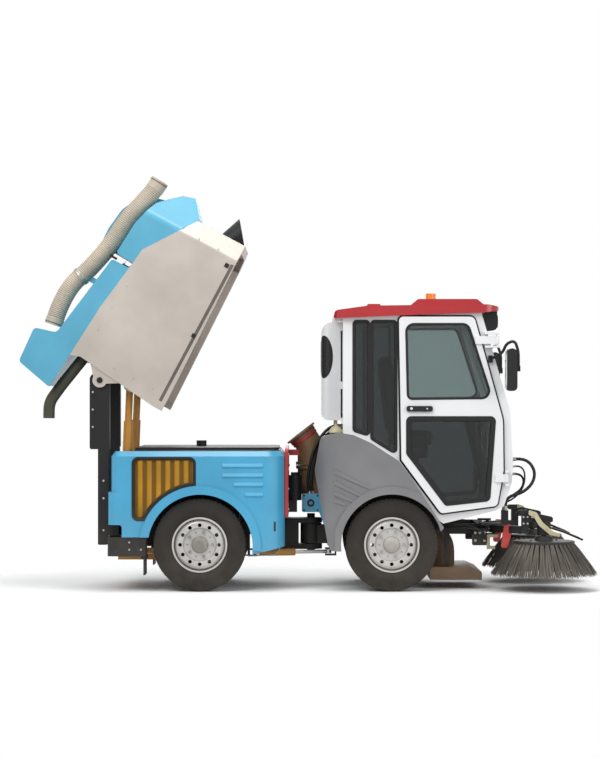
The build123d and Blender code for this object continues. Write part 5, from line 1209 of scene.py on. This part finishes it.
# %% [markdown]
# The slot lies on the body's rounded corner, so its y follows the arc: y = y0 - sqrt(r^2 - (x - x0)^2).

# %% Slot and bolts
# The slot is a thin black piece in the panel: painted shade of the slot's opening.
slot_loop = outline([(509, 414, 6.5), (523, 414, 6.5), (523, 482, 6.5), (509, 482, 6.5)])
CORNER_X, CORNER_Y, CORNER_R = 434, -438, 150
slot_y = CORNER_Y - np.sqrt(CORNER_R**2 - (slot_loop[:, 0] - CORNER_X) ** 2)
slot_points = np.concatenate([np.stack([slot_loop[:, 0], slot_y - out, slot_loop[:, 1]], 1) for out in (0.8, -3.0)])
slot_shape = (place(slot_points), prism_faces(len(slot_loop)))
fitting("body_slots", [slot_shape, mirrored(slot_shape)], seal_rubber_and_shade, "rear_chassis", 0)
mast_spots = [(-736, -525, z) for z in (1130, 1250, 1370)] + [(-662, -525, z) for z in (420, 640, 760)]
end_spots = [(608, y, z) for y in (-440, 440) for z in (560, 700, 840, 940)]
bumper_spots = [(-480, -590, 290), (-480, -590, 340), (-400, -590, 290)]
side_bolts = bolts(mast_spots + bumper_spots)
frame_bolts = [*side_bolts, *map(mirrored, side_bolts), *bolts(end_spots, (1, 0, 0))]
fitting("frame_bolts", frame_bolts, zinc_bolt, "rear_chassis", 0)
DUCT_END, DUCT_DIR, BAND_BELOW = np.array([690, 0, 1085]), np.array([0.616, 0, -0.788]), 52
band_at = place(DUCT_END + DUCT_DIR * BAND_BELOW)[0]
band_rows = [(0.090, -0.010), (0.099, -0.010), (0.101, 0.0), (0.099, 0.010), (0.090, 0.010)]
fitting("duct_band", [turned(band_rows, band_at, DUCT_DIR, 72)], red_frame, "rear_chassis", 0)
runs = [[(110, y, 262), (240, y - 4, 238), (400, y - 6, 232), (520, y, 246), (552, y + 20, 300)]
        for y in (-288, -302)]
pipes = [swept(smooth_path(place(run)), 0.005, 12) for run in runs]
fitting("brake_pipes", pipes, zinc_bolt, "rear_chassis", 0)

# %% [markdown]
# ## Seat
# The seat is the one soft thing on the sweeper. The cushion and the backrest start as slightly small rounded
# blocks. A cloth simulation with a little pressure swells them, pulled in at the corners, and the result is
# made the mesh. A plain pedestal carries it.

# %% Padded pieces
def rounded_block(low, high, tilt=0.0, cells=18):
    """Superellipsoid: sign(s) * |s|^0.32 of each part of a sphere's direction, scaled to the box, leaned by tilt."""
    u = np.linspace(-math.pi / 2, math.pi / 2, cells)
    v = np.linspace(0, 2 * math.pi, cells * 2, endpoint=False)
    u, v = np.meshgrid(u[1:-1], v, indexing="ij")
    power = lambda value: np.sign(value) * np.abs(value) ** 0.32
    ball = np.stack([power(np.cos(u)) * power(np.cos(v)), power(np.cos(u)) * power(np.sin(v)), power(np.sin(u))], 2)
    low, high = np.array(low, float), np.array(high, float)
    poles = np.array([[0, 0, -1.0], [0, 0, 1.0]])
    points = np.concatenate([ball.reshape(-1, 3), poles]) * (high - low) / 2
    rows, columns = ball.shape[:2]
    faces = grid_faces(rows, columns, wrap_columns=True)
    faces += [[k, (k + 1) % columns, rows * columns] for k in range(columns)]
    top = (rows - 1) * columns
    faces += [[top + (k + 1) % columns, top + k, rows * columns + 1] for k in range(columns)]
    lean = np.array([[math.cos(tilt), 0, math.sin(tilt)], [0, 1, 0], [-math.sin(tilt), 0, math.cos(tilt)]])
    return points @ lean.T + (low + high) / 2, faces


VOXEL, PRESSURE, SWELL_FRAMES = 0.011, 4.0, 16


def pad(name, points, faces, swell):
    """Cushion: remeshed evenly, swelled by cloth pressure with its moves capped at swell, then smoothed once."""
    piece = make_piece(name, points, faces, "front_chassis", angle=180)
    before = None
    bpy.context.view_layer.objects.active = piece
    remesh = piece.modifiers.new("even", "REMESH")
    remesh.mode, remesh.voxel_size = "VOXEL", VOXEL
    bpy.ops.object.modifier_apply(modifier=remesh.name)
    before = np.empty(len(piece.data.vertices) * 3)
    piece.data.vertices.foreach_get("co", before)
    cloth = piece.modifiers.new("swell", "CLOTH")
    cloth.settings.use_pressure = True
    cloth.settings.uniform_pressure_force = PRESSURE
    cloth.settings.effector_weights.gravity = 0
    for step in range(1, SWELL_FRAMES + 1):
        bpy.context.scene.frame_set(step)
    shaped = piece.evaluated_get(bpy.context.evaluated_depsgraph_get())
    after = np.empty(len(before))
    shaped.data.vertices.foreach_get("co", after)
    piece.modifiers.remove(cloth)
    bpy.context.scene.frame_set(1)
    move = (after - before).reshape(-1, 3)
    size = np.linalg.norm(move, axis=1)[:, None]
    move *= np.minimum(1.0, swell / np.maximum(size, 1e-9))
    piece.data.vertices.foreach_set("co", (before.reshape(-1, 3) + move).ravel())
    piece.data.update()
    smoother = piece.modifiers.new("round", "SUBSURF")
    smoother.levels = smoother.render_levels = 1
    piece.data.materials.append(seat_cloth)
    piece.data.shade_smooth()
    print(name, len(piece.data.vertices), "points")
    return piece


SEAT_REAR, SEAT_FRONT = REAR_AXLE_X + 1.318, REAR_AXLE_X + 1.632
cushion = pad("seat_cushion", *rounded_block((SEAT_REAR, -0.238, 1.014), (SEAT_FRONT, 0.238, 1.092)), 0.010)
back_centre, back_half = np.array([SEAT_REAR, 0, 1.352]), [0.043, 0.222, 0.280]
pad("seat_backrest", *rounded_block(back_centre - back_half, back_centre + back_half, tilt=-0.115), 0.008)
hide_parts("seat")

# %% [markdown]
# Under the cushion stand a pan and a pedestal with a bellows-like fold, made as a stack of rounded rings.

# %% Seat base
FOOT_LOW, FOOT_TOP, FOOT_X = 0.905, 1.004, REAR_AXLE_X + 1.48
levels = np.linspace(0, 1, 25)
ring_z = FOOT_LOW + (FOOT_TOP - FOOT_LOW) * levels
fold = 0.010 * np.cos(levels * math.tau * 4)
loop = outline([(-0.11, -0.15, 0.04), (0.11, -0.15, 0.04), (0.11, 0.15, 0.04), (-0.11, 0.15, 0.04)])
rows = [np.stack([FOOT_X + loop[:, 0] * (1 + f * 6), loop[:, 1] * (1 + f * 4), np.full(len(loop), z)], 1)
        for f, z in zip(fold, ring_z)]
points = np.concatenate(rows)
faces = grid_faces(len(rows), len(loop), wrap_columns=True)
faces += [list(range(len(loop)))[::-1], list(range(len(points) - len(loop), len(points)))]
pan = box_shape((REAR_AXLE_X + 1.33, -0.21, 1.002), (REAR_AXLE_X + 1.61, 0.21, 1.020))
post = box_shape((REAR_AXLE_X + 1.43, -0.12, 0.860), (REAR_AXLE_X + 1.53, 0.12, 0.906))
fitting("seat_base", [(points, faces), pan, post], cab_trim, "front_chassis", bevel=0, angle=35)

# %% [markdown]
# ## Floor, background and light
# The floor is pale and plain. It fades out in an ellipse round the sweeper, so that the picture ends in white
# and only the shadow is left. The world is white to the camera, and to glossy and clear rays, so steel and
# glass show a white studio. The light on the object itself comes from a softer world and four large lamps.

# %% Floor
floor_material, tree, floor_shader = new_material("pale_floor")
floor_shader.inputs["Roughness"].default_value = 0.9
floor_shader.inputs["Specular IOR Level"].default_value = 0.1
patches = rescale(tree, noise(tree, object_point(tree), 1.5), to_low=0.92, to_high=0.94)
tree.links.new(patches, floor_shader.inputs["Base Color"])
across = node(tree, "ShaderNodeMapping", links={"Vector": object_point(tree), "Scale": (0.34, 0.60, 1.0)})
across = node(tree, "ShaderNodeVectorMath", {"operation": "LENGTH"}, {0: across.outputs[0]})
fade = rescale(tree, across.outputs["Value"], 0.80, 1.35, settings={"interpolation_type": "SMOOTHSTEP"})
away = node(tree, "ShaderNodeBsdfTransparent")
blend = node(tree, "ShaderNodeMixShader", links={0: fade, 1: floor_shader.outputs[0], 2: away.outputs[0]})
tree.links.new(blend.outputs[0], tree.nodes["Material Output"].inputs["Surface"])
FLOOR_HALF, FLOOR_Z = 60.0, -0.001
floor_points = [(x * FLOOR_HALF, y * FLOOR_HALF, FLOOR_Z) for x, y in ((-1, -1), (1, -1), (1, 1), (-1, 1))]
floor_mesh = bpy.data.meshes.new("floor")
floor_mesh.from_pydata(floor_points, [], [(0, 1, 2, 3)])
floor = bpy.data.objects.new("floor", floor_mesh)
bpy.context.scene.collection.objects.link(floor)
floor_mesh.materials.append(floor_material)

# %% World
world = bpy.data.worlds.new("studio")
world.use_nodes = True
bpy.context.scene.world = world
tree = world.node_tree
background = tree.nodes["Background"]
background.inputs["Color"].default_value = (1.0, 1.0, 1.0, 1)
rays = node(tree, "ShaderNodeLightPath")
seen = maths(tree, "MAXIMUM", rays.outputs["Is Camera Ray"], rays.outputs["Is Transmission Ray"])
seen = maths(tree, "MAXIMUM", seen, rays.outputs["Is Glossy Ray"])
tree.links.new(rescale(tree, seen, to_low=0.46, to_high=1.0), background.inputs["Strength"])


# %% Lamps
def lamp(name, at, target, size, power):
    """Square area lamp at a point, turned so that it looks at the target."""
    data = bpy.data.lights.new(name, "AREA")
    data.size = size
    data.energy = power
    item = bpy.data.objects.new(name, data)
    item.location = at
    item.rotation_euler = (Vector(target) - Vector(at)).to_track_quat("-Z", "Y").to_euler()
    bpy.context.scene.collection.objects.link(item)


lamp("key", (-4.0, -7.0, 7.5), (0, 0, 1.0), 5.0, 520)
lamp("fill", (6.5, -6.0, 4.0), (0, 0, 1.0), 5.0, 260)
lamp("back", (0.5, 7.5, 6.0), (0, 0, 1.2), 5.0, 300)
lamp("top", (0.3, -1.2, 8.0), (0, -0.2, 1.0), 4.0, 250)
bpy.context.scene.view_settings.view_transform = "Standard"
